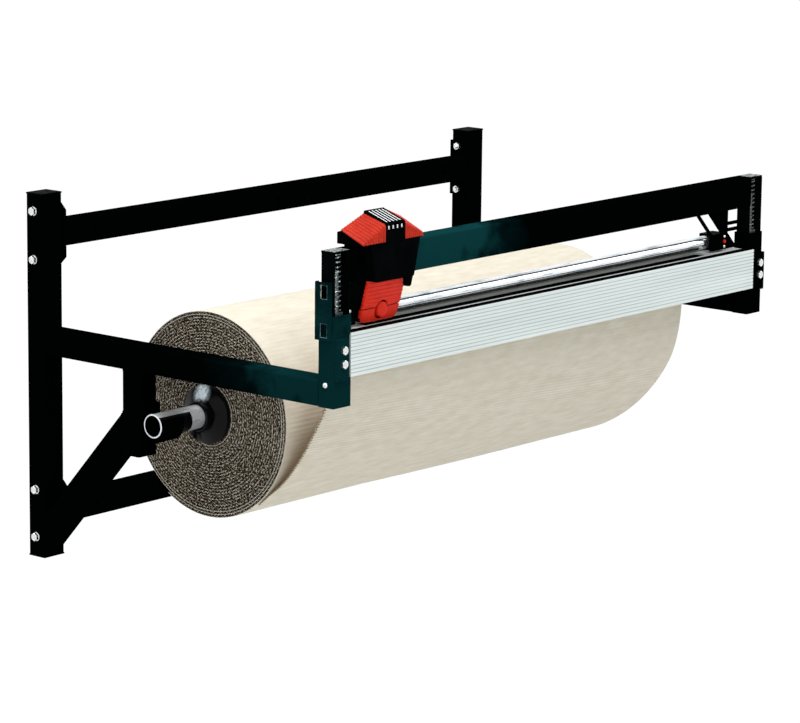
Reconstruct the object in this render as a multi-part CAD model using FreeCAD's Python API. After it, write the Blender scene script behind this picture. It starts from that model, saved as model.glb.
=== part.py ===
"""Wall-mounted dispenser and cutter for a roll of corrugated wrapping board.

Millimetres. +X to the right, +Y into the wall, +Z up. The origin is the centre of the four
outer wall screws, on the wall plane.
"""
import FreeCAD
import Part
import math
import os

Vector = FreeCAD.Vector

# Wall frame
frame_width = 1225.0
upright_width = 50.0
upright_depth = 40.0
upright_tube_height = 649.0
upright_foot_z = -327.0
tube_wall = 2.5
cap_flange = 3.0
cap_plug_length = 14.0
cap_clearance = 0.1

# Crossbars and the wall screws through them
crossbar_size = 45.0
wall_screw_inset = 127.5
screw_spacing_z = 500.0
wall_hole_radius = 4.5
end_plate_thickness = 5.0
end_plate_height = 108.0
end_plate_corner = 12.0

# Bolts through the uprights
bolt_radius = 4.0
bolt_hole_radius = 4.5
bolt_head_flats = 13.0
bolt_head_height = 5.3
nut_height = 6.5
washer_radius = 8.0
washer_thickness = 1.6
bolt_tail = 3.0
bolt_offset_z = 43.0

# Side arms, hangers and braces
arm_size = 45.0
arm_top_z = 85.0
hanger_depth = 41.0
hanger_rear_y = -234.0
hanger_foot_z = -110.0
brace_foot_z = -283.5
brace_head_z = -68.0

# Cradles and the roll's shaft
cradle_wall = 8.0
cradle_inner_radius = 25.0
cradle_bend_z = -46.0
cradle_back_leg = 29.0
cradle_front_leg = 11.0
shaft_radius = 21.2
shaft_wall = 2.6
seat_gap = 0.3

# Roll of board on its core
roll_radius = 185.0
roll_left_margin = 140.0
roll_right_margin = 85.0
core_outer_radius = 43.0
core_inner_radius = 38.0
plug_flange_radius = 52.5
plug_flange_thickness = 9.0
plug_cone_length = 9.0
plug_shoulder_radius = 51.0
plug_face_radius = 31.0
plug_spigot_length = 45.0
plug_clearance = 0.15
bearing_clearance = 0.1
collar_radius = 26.0
collar_width = 13.0
collar_gap = 0.5
collar_screw_radius = 3.0
collar_screw_head_radius = 4.5
collar_screw_head_height = 3.0

# Posts that carry the cutting bridge
post_depth = 35.0
post_rear_y = -685.0
sleeve_top_z = 194.0
upper_post_inset = 3.0
upper_post_wall = 2.5
upper_post_foot_z = 154.0
upper_post_top_z = 297.0
post_cap_thickness = 4.0
seat_block_top_z = 148.0
seat_block_clearance = 0.2
seat_bar_size = 18.0
seat_bar_top_z = 198.0
guide_rod_radius = 6.0
guide_rod_length = 70.0

# Compression springs in the posts
spring_outer_radius = 10.3
spring_wire_radius = 1.5
spring_turns = 13
spring_end_run = 3.0
spring_lead_angle = 60.0
press_travel = 3.5

# Window bracket outside the left sleeve
bracket_proud = 8.0
bracket_sheet = 2.0
bracket_width = 31.0
bracket_setback = 4.0
bracket_foot_z = 154.0
bracket_height = 97.0
window_width = 14.5
window_height = 23.0
window_edge = 5.0
window_front_edge = 4.5

# Aluminium cutting rail: fascia, beam, two groove bars and a block at each end
rail_top_z = 164.0
rail_behind_post = 35.0
fascia_height = 74.0
fascia_thickness = 3.5
fascia_overlap = 9.0
fascia_rib_count = 12
fascia_groove_width = 1.6
fascia_groove_depth = 0.8
rail_wall = 3.0
rail_box_depth = 50.0
groove_setback = 26.0
groove_rear_lip = 12.0
groove_depth = 8.0
groove_left_block = 57.0
groove_right_block = 90.0
mat_thickness = 3.0
edge_strip_setback = 2.0
edge_strip_width = 18.0
edge_strip_thickness = 3.0
edge_strip_proud = 0.5

# Plates that hold the rail to the sleeves
front_plate_width = 31.0
front_plate_height = 71.0
front_plate_thickness = 6.0
front_plate_foot_z = 85.0
front_plate_edge = 1.0
tongue_thickness = 2.5
tongue_reach = 60.0
tongue_margin = 3.0
plate_bolt_x = 17.6
plate_bolt_heights = (137.0, 114.0)
plate_bolt_length = 18.0
seat_screw_z = 78.0
seat_screw_radius = 3.0
seat_screw_head_radius = 5.0
seat_screw_head_height = 3.0
seat_screw_length = 14.0

# Spring-lifted bridge: portal bar, gussets, guide tube
portal_height = 56.0
portal_depth = 35.0
portal_wall = 3.0
gusset_before_post_rear = 12.0
gusset_thickness = 5.0
gusset_edge_inset = 82.0
gusset_foot_height = 30.0
gusset_foot_drop = 15.0
gusset_foot_width = 51.0
gusset_toe = 26.0
strut_width = 7.0
strut_slot_width = 30.0
left_gusset_inset = 50.0
left_gusset_width = 30.0
left_gusset_height = 41.0
tie_rod_radius = 3.5
tie_rod_heights = (215.0, 203.0)
tube_radius = 12.5
tube_wall_thickness = 1.5
tube_behind_gusset = 21.0
tube_rest_gap = 0.5
block_height = 30.0
block_width = 30.0
right_block_width = 42.0
right_screw_inset = 11.0
gusset_screw_radius = 2.5
gusset_screw_head_radius = 3.2
gusset_screw_head_height = 2.5
gusset_screw_spacing = 19.0
gusset_screw_seat = 4.0
block_corner = 8.0
button_radius = 3.5
button_height = 3.0

# Cutting head, centred on its parked place
head_park_inset = 131.0
head_running_gap = 1.5
head_half_width = 66.0
head_wall_half_width = 63.0
head_lower_half_width = 48.5
head_front_wall = 18.5
head_rear_wall = 15.5
shoulder_z = 306.0
housing_rear_z = 322.0
ridge_half_width = 25.0
ridge_depth = 50.0
ridge_rear_z = 356.0
ridge_front_z = 339.0
ridge_slot_count = 5
ridge_slot_width = 3.4
ridge_slot_depth = 3.0
ridge_margin = 4.0
grip_drop = 4.0
grip_fall = 21.0
grip_base_rear_z = 329.0
grip_base_front_z = 308.0
left_grip_span = 82.0
right_grip_span = 71.0
grip_rib_count = 9
grip_rib_depth = 1.2
grip_groove_width = 2.0
lower_half_width = 46.0
lower_behind_tube = 22.0
lower_bottom_gap = 4.5
blade_slot_width = 3.0
cover_half_width = 48.5
cover_bottom_half_width = 38.0
cover_top_setback = 17.0
cover_bottom_setback = 36.5
cover_thickness = 3.5
cover_top_z = 243.0
cover_bottom_gap = 1.0
cover_seam_z = 193.0
cover_gap = 0.3
cover_ridge_count = 6
cover_ridge_proud = 0.8
cover_ridge_height = 2.6
cover_ridge_pitch = 7.0
boss_radius = 16.0
boss_proud = 2.5
rear_cover_thickness = 4.0
rear_cover_foot_z = 191.0
rear_cover_height = 22.0
rear_cover_width = 76.0
bush_thickness = 2.0
bush_length = 22.0
glide_thickness = 1.2
glide_length = 18.0
glide_height = 40.0

# Rotary blade
blade_radius = 22.5
blade_thickness = 1.0
blade_in_groove = 5.0
blade_axis_z = 189.0
blade_bore_radius = 4.1
blade_pin_radius = 4.0
blade_pin_seat = 6.0

# Board leaving the roll
web_thickness = 2.5
web_clear = 1.0
web_turn_radius = 51.0
web_upright_z = 70.0
web_sweep_radius = 278.0
web_sweep_angle = 43.5
web_edge_overlap = 13.0

half_width = frame_width / 2
screw_spacing_x = frame_width - 2 * wall_screw_inset
arm_bottom_z = arm_top_z - arm_size
hanger_front_y = hanger_rear_y - hanger_depth
post_front_y = post_rear_y - post_depth
portal_top_z = upper_post_top_z + post_cap_thickness
portal_foot_z = portal_top_z - portal_height
cradle_centre_y = hanger_front_y - cradle_wall - cradle_inner_radius
shaft_axis_z = cradle_bend_z - cradle_inner_radius + shaft_radius + seat_gap
roll_left_x = -half_width + roll_left_margin
roll_right_x = half_width - roll_right_margin
post_centre_y = (post_front_y + post_rear_y) / 2
rail_front_y = post_front_y - front_plate_thickness
rail_rear_y = post_rear_y + rail_behind_post
groove_front_y = rail_front_y + groove_setback
groove_rear_y = rail_rear_y - groove_rear_lip
edge_strip_front_y = rail_front_y + edge_strip_setback
edge_strip_rear_y = edge_strip_front_y + edge_strip_width
fascia_rear_y = rail_front_y + fascia_thickness
beam_top_z = rail_top_z - groove_depth
strip_foot_z = rail_top_z - edge_strip_thickness
gusset_front_y = post_rear_y - gusset_before_post_rear
tube_axis_y = gusset_front_y + tube_behind_gusset
tube_axis_z = rail_top_z + web_thickness + press_travel + tube_rest_gap + tube_radius
gusset_foot_z = tube_axis_z - gusset_foot_drop
lower_bottom_z = rail_top_z + press_travel + lower_bottom_gap
cover_bottom_z = rail_top_z + edge_strip_proud + press_travel + cover_bottom_gap
head_centre_x = -half_width + head_park_inset
head_front_y = post_front_y - head_running_gap - head_front_wall
head_rear_y = post_rear_y + head_running_gap + head_rear_wall
ridge_rear_y = head_front_y + ridge_depth
lower_rear_y = tube_axis_y + lower_behind_tube
cover_top_y = head_front_y + cover_top_setback
cover_bottom_y = head_front_y + cover_bottom_setback
blade_plane_y = groove_front_y + blade_in_groove
web_front_y = rail_rear_y + web_turn_radius
web_edge_y = rail_rear_y - web_edge_overlap


def box(x0, x1, y0, y1, z0, z1):
    return Part.makeBox(x1 - x0, y1 - y0, z1 - z0, Vector(x0, y0, z0))


def rod(radius, start, direction, length):
    return Part.makeCylinder(radius, length, Vector(*start), Vector(*direction))


def prism(points, direction):
    """A straight-sided solid from a closed outline, pushed along a direction."""
    outline = Part.makePolygon([Vector(*point) for point in points + points[:1]])
    return Part.Face(outline).extrude(Vector(*direction))


def profile_x(points, x0, x1):
    """A solid from an outline of (y, z) points, running from x0 to x1."""
    return prism([(x0, y, z) for y, z in points], (x1 - x0, 0, 0))


def profile_y(points, y0, y1):
    """A solid from an outline of (x, z) points, running from y0 to y1."""
    return prism([(x, y0, z) for x, z in points], (0, y1 - y0, 0))


def hexagon(flats, height, start, axis):
    """A hexagonal prism, with one corner up, that starts at a point and grows along X or Y."""
    corner = flats / math.sqrt(3)
    angles = [math.radians(90 + 60 * step) for step in range(6)]
    if axis == "x":
        points = [(start[0], start[1] + corner * math.cos(a), start[2] + corner * math.sin(a))
                  for a in angles]
        return prism(points, (height, 0, 0))
    points = [(start[0] + corner * math.cos(a), start[1], start[2] + corner * math.sin(a))
              for a in angles]
    return prism(points, (0, height, 0))


def mirrored(shape):
    """The right-hand copy of a left-hand piece."""
    return shape.mirror(Vector(0, 0, 0), Vector(1, 0, 0))


def save(name, *solids):
    shape = solids[0] if len(solids) == 1 else Part.makeCompound(list(solids))
    shape.exportStep(os.path.join("parts", name + ".step"))


def save_pair(name, left):
    save("left_" + name, left)
    save("right_" + name, mirrored(left))


def upright():
    x0 = -half_width
    x1 = x0 + upright_width
    top = upright_foot_z + upright_tube_height
    outer = box(x0, x1, -upright_depth, 0, upright_foot_z, top)
    inner = box(x0 + tube_wall, x1 - tube_wall, -upright_depth + tube_wall,
                -tube_wall, upright_foot_z, top)
    tube = outer.cut(inner)
    for z in bolt_heights():
        tube = tube.cut(rod(bolt_hole_radius, (x0, -upright_depth / 2, z), (1, 0, 0),
                            upright_width))
    return tube


def bolt_heights():
    bars = (screw_spacing_z / 2, -screw_spacing_z / 2)
    return [bar + side * bolt_offset_z for bar in bars for side in (1, -1)]


def upright_cap(flange_z, direction):
    """A push-in plastic cap: a flange as wide as the tube and a plug inside it."""
    x0 = -half_width
    inset = tube_wall + cap_clearance
    low = min(flange_z, flange_z + direction * cap_flange)
    flange = box(x0, x0 + upright_width, -upright_depth, 0, low, low + cap_flange)
    plug_end = flange_z - direction * cap_plug_length
    plug = box(x0 + inset, x0 + upright_width - inset, -upright_depth + inset,
               -inset, min(flange_z, plug_end), max(flange_z, plug_end))
    return flange.fuse(plug)


def crossbar(z):
    inner_x = half_width - upright_width - end_plate_thickness
    half = crossbar_size / 2
    outer = box(-inner_x, inner_x, -crossbar_size, 0, z - half, z + half)
    bore = box(-inner_x, inner_x, -crossbar_size + tube_wall, -tube_wall,
               z - half + tube_wall, z + half - tube_wall)
    tube = outer.cut(bore)
    for x in (-screw_spacing_x / 2, 0, screw_spacing_x / 2):
        tube = tube.cut(rod(wall_hole_radius, (x, -crossbar_size, z), (0, 1, 0), crossbar_size))
    return tube


def end_plate(z):
    """The plate welded on a crossbar's left end, with its two bolt holes."""
    x0 = -half_width + upright_width
    half = end_plate_height / 2
    front = -crossbar_size
    corner = end_plate_corner
    outline = [(0, z - half), (0, z + half), (front + corner, z + half),
               (front, z + half - corner), (front, z - half + corner), (front + corner, z - half)]
    plate = profile_x(outline, x0, x0 + end_plate_thickness)
    for side in (1, -1):
        plate = plate.cut(rod(bolt_hole_radius, (x0, -upright_depth / 2, z + side * bolt_offset_z),
                              (1, 0, 0), end_plate_thickness))
    return plate


def frame_bolt(z):
    head_x = -half_width - washer_thickness
    length = washer_thickness + upright_width + end_plate_thickness + nut_height + bolt_tail
    head = hexagon(bolt_head_flats, bolt_head_height,
                   (head_x - bolt_head_height, -upright_depth / 2, z), "x")
    return head.fuse(rod(bolt_radius, (head_x, -upright_depth / 2, z), (1, 0, 0), length))


def frame_washer(z):
    start = (-half_width - washer_thickness, -upright_depth / 2, z)
    disc = rod(washer_radius, start, (1, 0, 0), washer_thickness)
    return disc.cut(rod(bolt_hole_radius, start, (1, 0, 0), washer_thickness))


def frame_nut(z):
    start = (-half_width + upright_width + end_plate_thickness, -upright_depth / 2, z)
    nut = hexagon(bolt_head_flats, nut_height, start, "x")
    return nut.cut(rod(bolt_radius, start, (1, 0, 0), nut_height))


def square_tube_y(x0, x1, y0, y1, z0, z1, wall):
    outer = box(x0, x1, y0, y1, z0, z1)
    return outer.cut(box(x0 + wall, x1 - wall, y0, y1, z0 + wall, z1 - wall))


def square_tube_z(x0, x1, y0, y1, z0, z1, wall):
    outer = box(x0, x1, y0, y1, z0, z1)
    return outer.cut(box(x0 + wall, x1 - wall, y0 + wall, y1 - wall, z0, z1))


def arm():
    return square_tube_y(-half_width, -half_width + arm_size, post_rear_y, -upright_depth,
                         arm_bottom_z, arm_top_z, tube_wall)


def hanger():
    return square_tube_z(-half_width, -half_width + arm_size, hanger_front_y, hanger_rear_y,
                         hanger_foot_z, arm_bottom_z, tube_wall)


def brace():
    """A sloping tube, cut upright at both ends to meet the upright and the hanger."""
    y0 = -upright_depth
    y1 = hanger_rear_y
    slope = math.atan2(brace_head_z - brace_foot_z, y0 - y1)

    def outline(half_size):
        rise = half_size / math.cos(slope)
        return [(y0, brace_foot_z - rise), (y0, brace_foot_z + rise),
                (y1, brace_head_z + rise), (y1, brace_head_z - rise)]

    x0 = -half_width
    outer = profile_x(outline(arm_size / 2), x0, x0 + arm_size)
    inner = profile_x(outline(arm_size / 2 - tube_wall), x0 + tube_wall, x0 + arm_size - tube_wall)
    return outer.cut(inner)


def cradle():
    """A flat bar bent into a U, welded to the hanger and open at the top."""
    x0 = -half_width
    outer_radius = cradle_inner_radius + cradle_wall
    centre = (x0, cradle_centre_y, cradle_bend_z)
    ring = rod(outer_radius, centre, (1, 0, 0), arm_size)
    ring = ring.cut(rod(cradle_inner_radius, centre, (1, 0, 0), arm_size))
    ring = ring.cut(box(x0, x0 + arm_size, cradle_centre_y - outer_radius,
                        cradle_centre_y + outer_radius, cradle_bend_z,
                        cradle_bend_z + outer_radius))
    back = box(x0, x0 + arm_size, hanger_front_y - cradle_wall, hanger_front_y,
               cradle_bend_z, cradle_bend_z + cradle_back_leg)
    front = box(x0, x0 + arm_size, cradle_centre_y - outer_radius,
                cradle_centre_y - cradle_inner_radius, cradle_bend_z,
                cradle_bend_z + cradle_front_leg)
    return ring.fuse([back, front]).removeSplitter()


def shaft():
    start = (-half_width, cradle_centre_y, shaft_axis_z)
    tube = rod(shaft_radius, start, (1, 0, 0), frame_width)
    return tube.cut(rod(shaft_radius - shaft_wall, start, (1, 0, 0), frame_width))


def plug_face_x():
    return plug_flange_thickness + plug_cone_length


def core_plug(end_x, outward):
    """A plastic plug in the core's end, with a flange, a cone and a running bore."""
    centre = (end_x, cradle_centre_y, shaft_axis_z)
    out = (outward, 0, 0)
    spigot = rod(core_inner_radius - plug_clearance, centre, (-outward, 0, 0), plug_spigot_length)
    flange = rod(plug_flange_radius, centre, out, plug_flange_thickness)
    cone_start = Vector(end_x + outward * plug_flange_thickness, cradle_centre_y, shaft_axis_z)
    cone = Part.makeCone(plug_shoulder_radius, plug_face_radius, plug_cone_length, cone_start,
                         Vector(*out))
    bore = rod(shaft_radius + bearing_clearance,
               (end_x - outward * plug_spigot_length, cradle_centre_y, shaft_axis_z), out,
               plug_spigot_length + plug_face_x())
    return spigot.fuse([flange, cone]).removeSplitter().cut(bore)


def collar_start(end_x, outward):
    return end_x + outward * (plug_face_x() + collar_gap)


def shaft_collar(end_x, outward):
    """A ring clamped on the shaft by a screw, so that the plug can't walk along it."""
    start = (collar_start(end_x, outward), cradle_centre_y, shaft_axis_z)
    ring = rod(collar_radius, start, (outward, 0, 0), collar_width)
    ring = ring.cut(rod(shaft_radius, start, (outward, 0, 0), collar_width))
    middle = (collar_middle(end_x, outward), cradle_centre_y, shaft_axis_z)
    return ring.cut(rod(collar_screw_radius, middle, (0, 0, 1),
                        collar_radius + collar_screw_head_height))


def collar_middle(end_x, outward):
    return collar_start(end_x, outward) + outward * collar_width / 2


def collar_screw(end_x, outward):
    x = collar_middle(end_x, outward)
    shank = rod(collar_screw_radius, (x, cradle_centre_y, shaft_axis_z + shaft_radius + seat_gap),
                (0, 0, 1), collar_radius - shaft_radius - seat_gap)
    head = rod(collar_screw_head_radius, (x, cradle_centre_y, shaft_axis_z + collar_radius),
               (0, 0, 1), collar_screw_head_height)
    return shank.fuse(head)


def ring_x(outer_radius, inner_radius, x0, x1):
    start = (x0, cradle_centre_y, shaft_axis_z)
    return rod(outer_radius, start, (1, 0, 0), x1 - x0).cut(
        rod(inner_radius, start, (1, 0, 0), x1 - x0))


def post_sleeve():
    x0 = -half_width
    tube = square_tube_z(x0, x0 + arm_size, post_front_y, post_rear_y, arm_bottom_z,
                         sleeve_top_z, tube_wall)
    for z in plate_bolt_heights:
        tube = tube.cut(rod(bolt_radius, (x0 + plate_bolt_x, post_front_y, z), (0, 1, 0),
                            tube_wall))
    return tube.cut(rod(seat_screw_radius, (x0, post_centre_y, seat_screw_z), (1, 0, 0),
                        tube_wall))


def spring_seat():
    """A block in the sleeve's foot, with a bar up inside the upper post for the spring."""
    x0 = -half_width
    inset = tube_wall + seat_block_clearance
    centre_x = x0 + arm_size / 2
    half_bar = seat_bar_size / 2
    block = box(x0 + inset, x0 + arm_size - inset, post_front_y + inset, post_rear_y - inset,
                arm_bottom_z, seat_block_top_z)
    bar = box(centre_x - half_bar, centre_x + half_bar, post_centre_y - half_bar,
              post_centre_y + half_bar, seat_block_top_z, seat_bar_top_z)
    guide = rod(guide_rod_radius, (centre_x, post_centre_y, seat_bar_top_z), (0, 0, 1),
                guide_rod_length)
    seat = block.fuse([bar, guide])
    for z in plate_bolt_heights:
        seat = seat.cut(rod(bolt_radius, (x0 + plate_bolt_x, post_front_y, z), (0, 1, 0),
                            plate_bolt_length))
    return seat.cut(rod(seat_screw_radius, (x0, post_centre_y, seat_screw_z), (1, 0, 0),
                        seat_screw_length))


def seat_screw():
    start = (-half_width, post_centre_y, seat_screw_z)
    head = rod(seat_screw_head_radius, start, (-1, 0, 0), seat_screw_head_height)
    return head.fuse(rod(seat_screw_radius, start, (1, 0, 0), seat_screw_length))


def upper_post():
    """A channel open to the front that slides up and down inside the sleeve."""
    x0 = -half_width + upper_post_inset
    x1 = -half_width + arm_size - upper_post_inset
    y0 = post_front_y + upper_post_inset
    y1 = post_rear_y - upper_post_inset
    outer = box(x0, x1, y0, y1, upper_post_foot_z, upper_post_top_z)
    hollow = box(x0 + upper_post_wall, x1 - upper_post_wall, y0, y1 - upper_post_wall,
                 upper_post_foot_z, upper_post_top_z)
    return outer.cut(hollow)


def post_cap():
    return box(-half_width + upper_post_inset, -half_width + arm_size - upper_post_inset,
               post_front_y + upper_post_inset, post_rear_y - upper_post_inset,
               upper_post_top_z, upper_post_top_z + post_cap_thickness)


def biarc(p0, t0, p1, t1):
    """Two arcs that leave p0 along t0, meet smoothly and reach p1 along t1."""
    chord = p1 - p0
    both = t0 + t1
    spread = 2 * (1 - t0.dot(t1))
    along = chord.dot(both)
    reach = (math.sqrt(along * along + spread * chord.dot(chord)) - along) / spread
    corner0 = p0 + t0 * reach
    corner1 = p1 - t1 * reach
    joint = (corner0 + corner1) * 0.5
    return [tangent_arc(p0, corner0, joint), tangent_arc(joint, corner1, p1)]


def tangent_arc(start, corner, end):
    """The arc that touches both legs of an even-legged corner."""
    turn = (corner - start).getAngle(end - corner)
    weight = math.cos(turn / 2)
    middle = (start + corner * (2 * weight) + end) * (1 / (2 * (1 + weight)))
    return Part.Arc(start, middle, end)


def spring_path(centre_x):
    """The spring's centre line: an upright run, quarter turns of a helix, an upright run."""
    radius = spring_outer_radius - spring_wire_radius
    low = seat_bar_top_z + spring_end_run
    high = upper_post_top_z - spring_end_run
    lead = math.radians(spring_lead_angle)
    sweep = 2 * math.pi * spring_turns
    lead_rise = radius / 2
    rise = (high - low - 2 * lead_rise) / (sweep - 2 * lead)

    def on_helix(angle):
        z = low + lead_rise + rise * (angle - lead)
        point = Vector(centre_x + radius * math.cos(angle),
                       post_centre_y + radius * math.sin(angle), z)
        tangent = Vector(-radius * math.sin(angle), radius * math.cos(angle), rise)
        return point, tangent.normalize()

    up = Vector(0, 0, 1)
    foot = Vector(centre_x + radius, post_centre_y, seat_bar_top_z)
    head = Vector(centre_x + radius, post_centre_y, upper_post_top_z)
    curves = [Part.LineSegment(foot, foot + up * spring_end_run)]
    count = round((sweep - 2 * lead) / (math.pi / 2))
    angles = [lead + (sweep - 2 * lead) * step / count for step in range(count + 1)]
    point, tangent = on_helix(angles[0])
    curves += biarc(foot + up * spring_end_run, up, point, tangent)
    for angle in angles[1:]:
        next_point, next_tangent = on_helix(angle)
        curves += biarc(point, tangent, next_point, next_tangent)
        point, tangent = next_point, next_tangent
    curves += biarc(point, tangent, head - up * spring_end_run, up)
    curves.append(Part.LineSegment(head - up * spring_end_run, head))
    return curves


def least_gap(curves):
    """The spring's least gap to itself, measured on points of its centre line."""
    points = []
    length = 0.0
    for curve in curves:
        steps = 6
        span = curve.length()
        points += [(length + span * i / steps, curve.value(
            curve.FirstParameter + (curve.LastParameter - curve.FirstParameter) * i / steps))
            for i in range(steps)]
        length += span
    along = math.pi * (spring_outer_radius - spring_wire_radius)
    gaps = [(a[1] - b[1]).Length for i, a in enumerate(points) for b in points[i + 1:]
            if b[0] - a[0] > along]
    return min(gaps) - 2 * spring_wire_radius


def spring(centre_x):
    curves = spring_path(centre_x)
    path = Part.Wire([curve.toShape() for curve in curves])
    circle = Part.Circle(curves[0].StartPoint, Vector(0, 0, 1), spring_wire_radius)
    section = Part.Wire([circle.toShape()])
    return path.makePipeShell([section], True, False)


def window_bracket():
    """A shallow sheet channel with two windows, welded to the left sleeve's outer side."""
    x1 = -half_width
    x0 = x1 - bracket_proud
    y0 = post_front_y + bracket_setback
    y1 = y0 + bracket_width
    top = bracket_foot_z + bracket_height
    channel = box(x0, x1, y0, y1, bracket_foot_z, top)
    channel = channel.cut(box(x0 + bracket_sheet, x1, y0 + bracket_sheet, y1 - bracket_sheet,
                              bracket_foot_z, top))
    window_y = y0 + window_front_edge
    for low in (bracket_foot_z + window_edge, top - window_edge - window_height):
        channel = channel.cut(box(x0, x0 + bracket_sheet, window_y, window_y + window_width,
                                  low, low + window_height))
    return channel


def fascia():
    """The rail's ribbed front extrusion, stepped back at the top for the black strip."""
    half = half_width - arm_size + fascia_overlap
    foot_z = rail_top_z - fascia_height
    plate = box(-half, half, rail_front_y, fascia_rear_y, foot_z, rail_top_z)
    pitch = fascia_height / fascia_rib_count
    for rib in range(1, fascia_rib_count):
        z = foot_z + rib * pitch
        plate = plate.cut(box(-half, half, rail_front_y, rail_front_y + fascia_groove_depth,
                              z - fascia_groove_width / 2, z + fascia_groove_width / 2))
    return plate.cut(box(-half, half, edge_strip_front_y, fascia_rear_y, strip_foot_z, rail_top_z))


def rail_beam():
    """A channel, open to the fascia, whose top is the floor of the groove."""
    half = half_width - arm_size
    foot_z = rail_top_z - rail_box_depth
    body = box(-half, half, fascia_rear_y, rail_rear_y, foot_z, beam_top_z)
    hollow = box(-half, half, fascia_rear_y, rail_rear_y - rail_wall, foot_z + rail_wall,
                 beam_top_z - rail_wall)
    notch = box(-half, half, fascia_rear_y, post_front_y, foot_z, foot_z + rail_wall)
    return body.cut(hollow).cut(notch)


def groove_bars():
    """The two flat bars on the beam that leave the groove between them."""
    half = half_width - arm_size
    front = box(-half, half, fascia_rear_y, groove_front_y, beam_top_z, rail_top_z)
    front = front.cut(box(-half, half, fascia_rear_y, edge_strip_rear_y, strip_foot_z, rail_top_z))
    rear = box(-half, half, groove_rear_y, rail_rear_y, beam_top_z, rail_top_z)
    return [front, rear]


def groove_ends():
    """Where the mat starts and ends, between the blocks in the groove."""
    half = half_width - arm_size
    return -half + groove_left_block, half - groove_right_block


def groove_blocks():
    """The flush blocks that close the groove beyond the blade's reach."""
    half = half_width - arm_size
    left, right = groove_ends()
    return [box(-half, left, groove_front_y, groove_rear_y, beam_top_z, rail_top_z),
            box(right, half, groove_front_y, groove_rear_y, beam_top_z, rail_top_z)]


def edge_strip():
    half = half_width - arm_size
    return box(-half, half, edge_strip_front_y, edge_strip_rear_y, strip_foot_z,
               rail_top_z + edge_strip_proud)


def cutting_mat():
    return box(*groove_ends(), groove_front_y, groove_rear_y, beam_top_z,
               beam_top_z + mat_thickness)


def front_plate():
    """A plate bolted on the sleeve's front, with a thin tongue behind the fascia."""
    x0 = -half_width + front_plate_edge
    front = post_front_y - front_plate_thickness
    top = front_plate_foot_z + front_plate_height
    plate = box(x0, x0 + front_plate_width, front, post_front_y, front_plate_foot_z, top)
    tongue = box(x0 + front_plate_width, -half_width + tongue_reach,
                 post_front_y - tongue_thickness, post_front_y,
                 rail_top_z - fascia_height + tongue_margin,
                 beam_top_z - rail_wall - tongue_margin)
    shape = plate.fuse(tongue).removeSplitter()
    for z in plate_bolt_heights:
        shape = shape.cut(rod(bolt_radius, (-half_width + plate_bolt_x, front, z), (0, 1, 0),
                              front_plate_thickness))
    return shape


def plate_bolt(z):
    """A bolt through the front plate and the sleeve into the spring seat's block."""
    x = -half_width + plate_bolt_x
    front = post_front_y - front_plate_thickness
    head = hexagon(bolt_head_flats, bolt_head_height, (x, front - bolt_head_height, z), "y")
    return head.fuse(rod(bolt_radius, (x, front, z), (0, 1, 0),
                         front_plate_thickness + plate_bolt_length))


def portal_bar():
    x1 = half_width - arm_size + upper_post_inset
    outer = box(-x1, x1, post_rear_y - portal_depth, post_rear_y, portal_foot_z, portal_top_z)
    return outer.cut(box(-x1, x1, post_rear_y - portal_depth + portal_wall,
                         post_rear_y - portal_wall, portal_foot_z + portal_wall,
                         portal_top_z - portal_wall))


def right_gusset():
    """A plate hung from the bar's right end, with a sloping strut and a foot for the tube."""
    right = half_width - gusset_edge_inset
    foot_top = gusset_foot_z + gusset_foot_height
    drop = portal_foot_z - foot_top
    foot_left = right - gusset_foot_width
    slot_bottom = foot_left + strut_width / 2
    plate_left = slot_bottom + strut_slot_width
    outline = [(foot_left, gusset_foot_z), (foot_left, foot_top),
               (foot_left - strut_width / 2, foot_top),
               (foot_left - strut_width / 2 - drop, portal_foot_z), (right, portal_foot_z),
               (right, foot_top), (right + gusset_toe, foot_top - gusset_toe),
               (right + gusset_toe, gusset_foot_z)]
    slot = [(slot_bottom, foot_top), (slot_bottom - drop, portal_foot_z),
            (plate_left - drop, portal_foot_z), (plate_left, foot_top)]
    rear = gusset_front_y + gusset_thickness
    plate = profile_y(outline, gusset_front_y, rear)
    plate = plate.cut(profile_y(slot, gusset_front_y, rear))
    for z in gusset_screw_heights():
        plate = plate.cut(rod(gusset_screw_radius, (right_screw_x(), gusset_front_y, z),
                              (0, 1, 0), gusset_thickness))
    return plate


def right_screw_x():
    return half_width - gusset_edge_inset - right_screw_inset


def left_screw_x():
    return -half_width + left_gusset_inset + left_gusset_width / 2


def gusset_screw_heights():
    middle = tube_axis_z
    return (middle + gusset_screw_spacing / 2, middle - gusset_screw_spacing / 2)


def left_gusset():
    """A short plate beside the left post: it carries the tube where the head parks."""
    x0 = -half_width + left_gusset_inset
    rear = gusset_front_y + gusset_thickness
    plate = box(x0, x0 + left_gusset_width, gusset_front_y, rear, gusset_foot_z,
                gusset_foot_z + left_gusset_height)
    for z in gusset_screw_heights():
        plate = plate.cut(rod(gusset_screw_radius, (left_screw_x(), gusset_front_y, z),
                              (0, 1, 0), gusset_thickness))
    return plate


def gusset_screw(x, z):
    """A screw through a gusset that is threaded into the front wall of the tube's block."""
    head = rod(gusset_screw_head_radius, (x, gusset_front_y, z), (0, -1, 0),
               gusset_screw_head_height)
    return head.fuse(gusset_screw_shank(x, z))


def gusset_screw_shank(x, z):
    return rod(gusset_screw_radius, (x, gusset_front_y, z), (0, 1, 0),
               gusset_thickness + gusset_screw_seat)


def tie_rod(x0, x1, z):
    y = gusset_front_y + gusset_thickness / 2
    return rod(tie_rod_radius, (x0, y, z), (1, 0, 0), x1 - x0)


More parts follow.
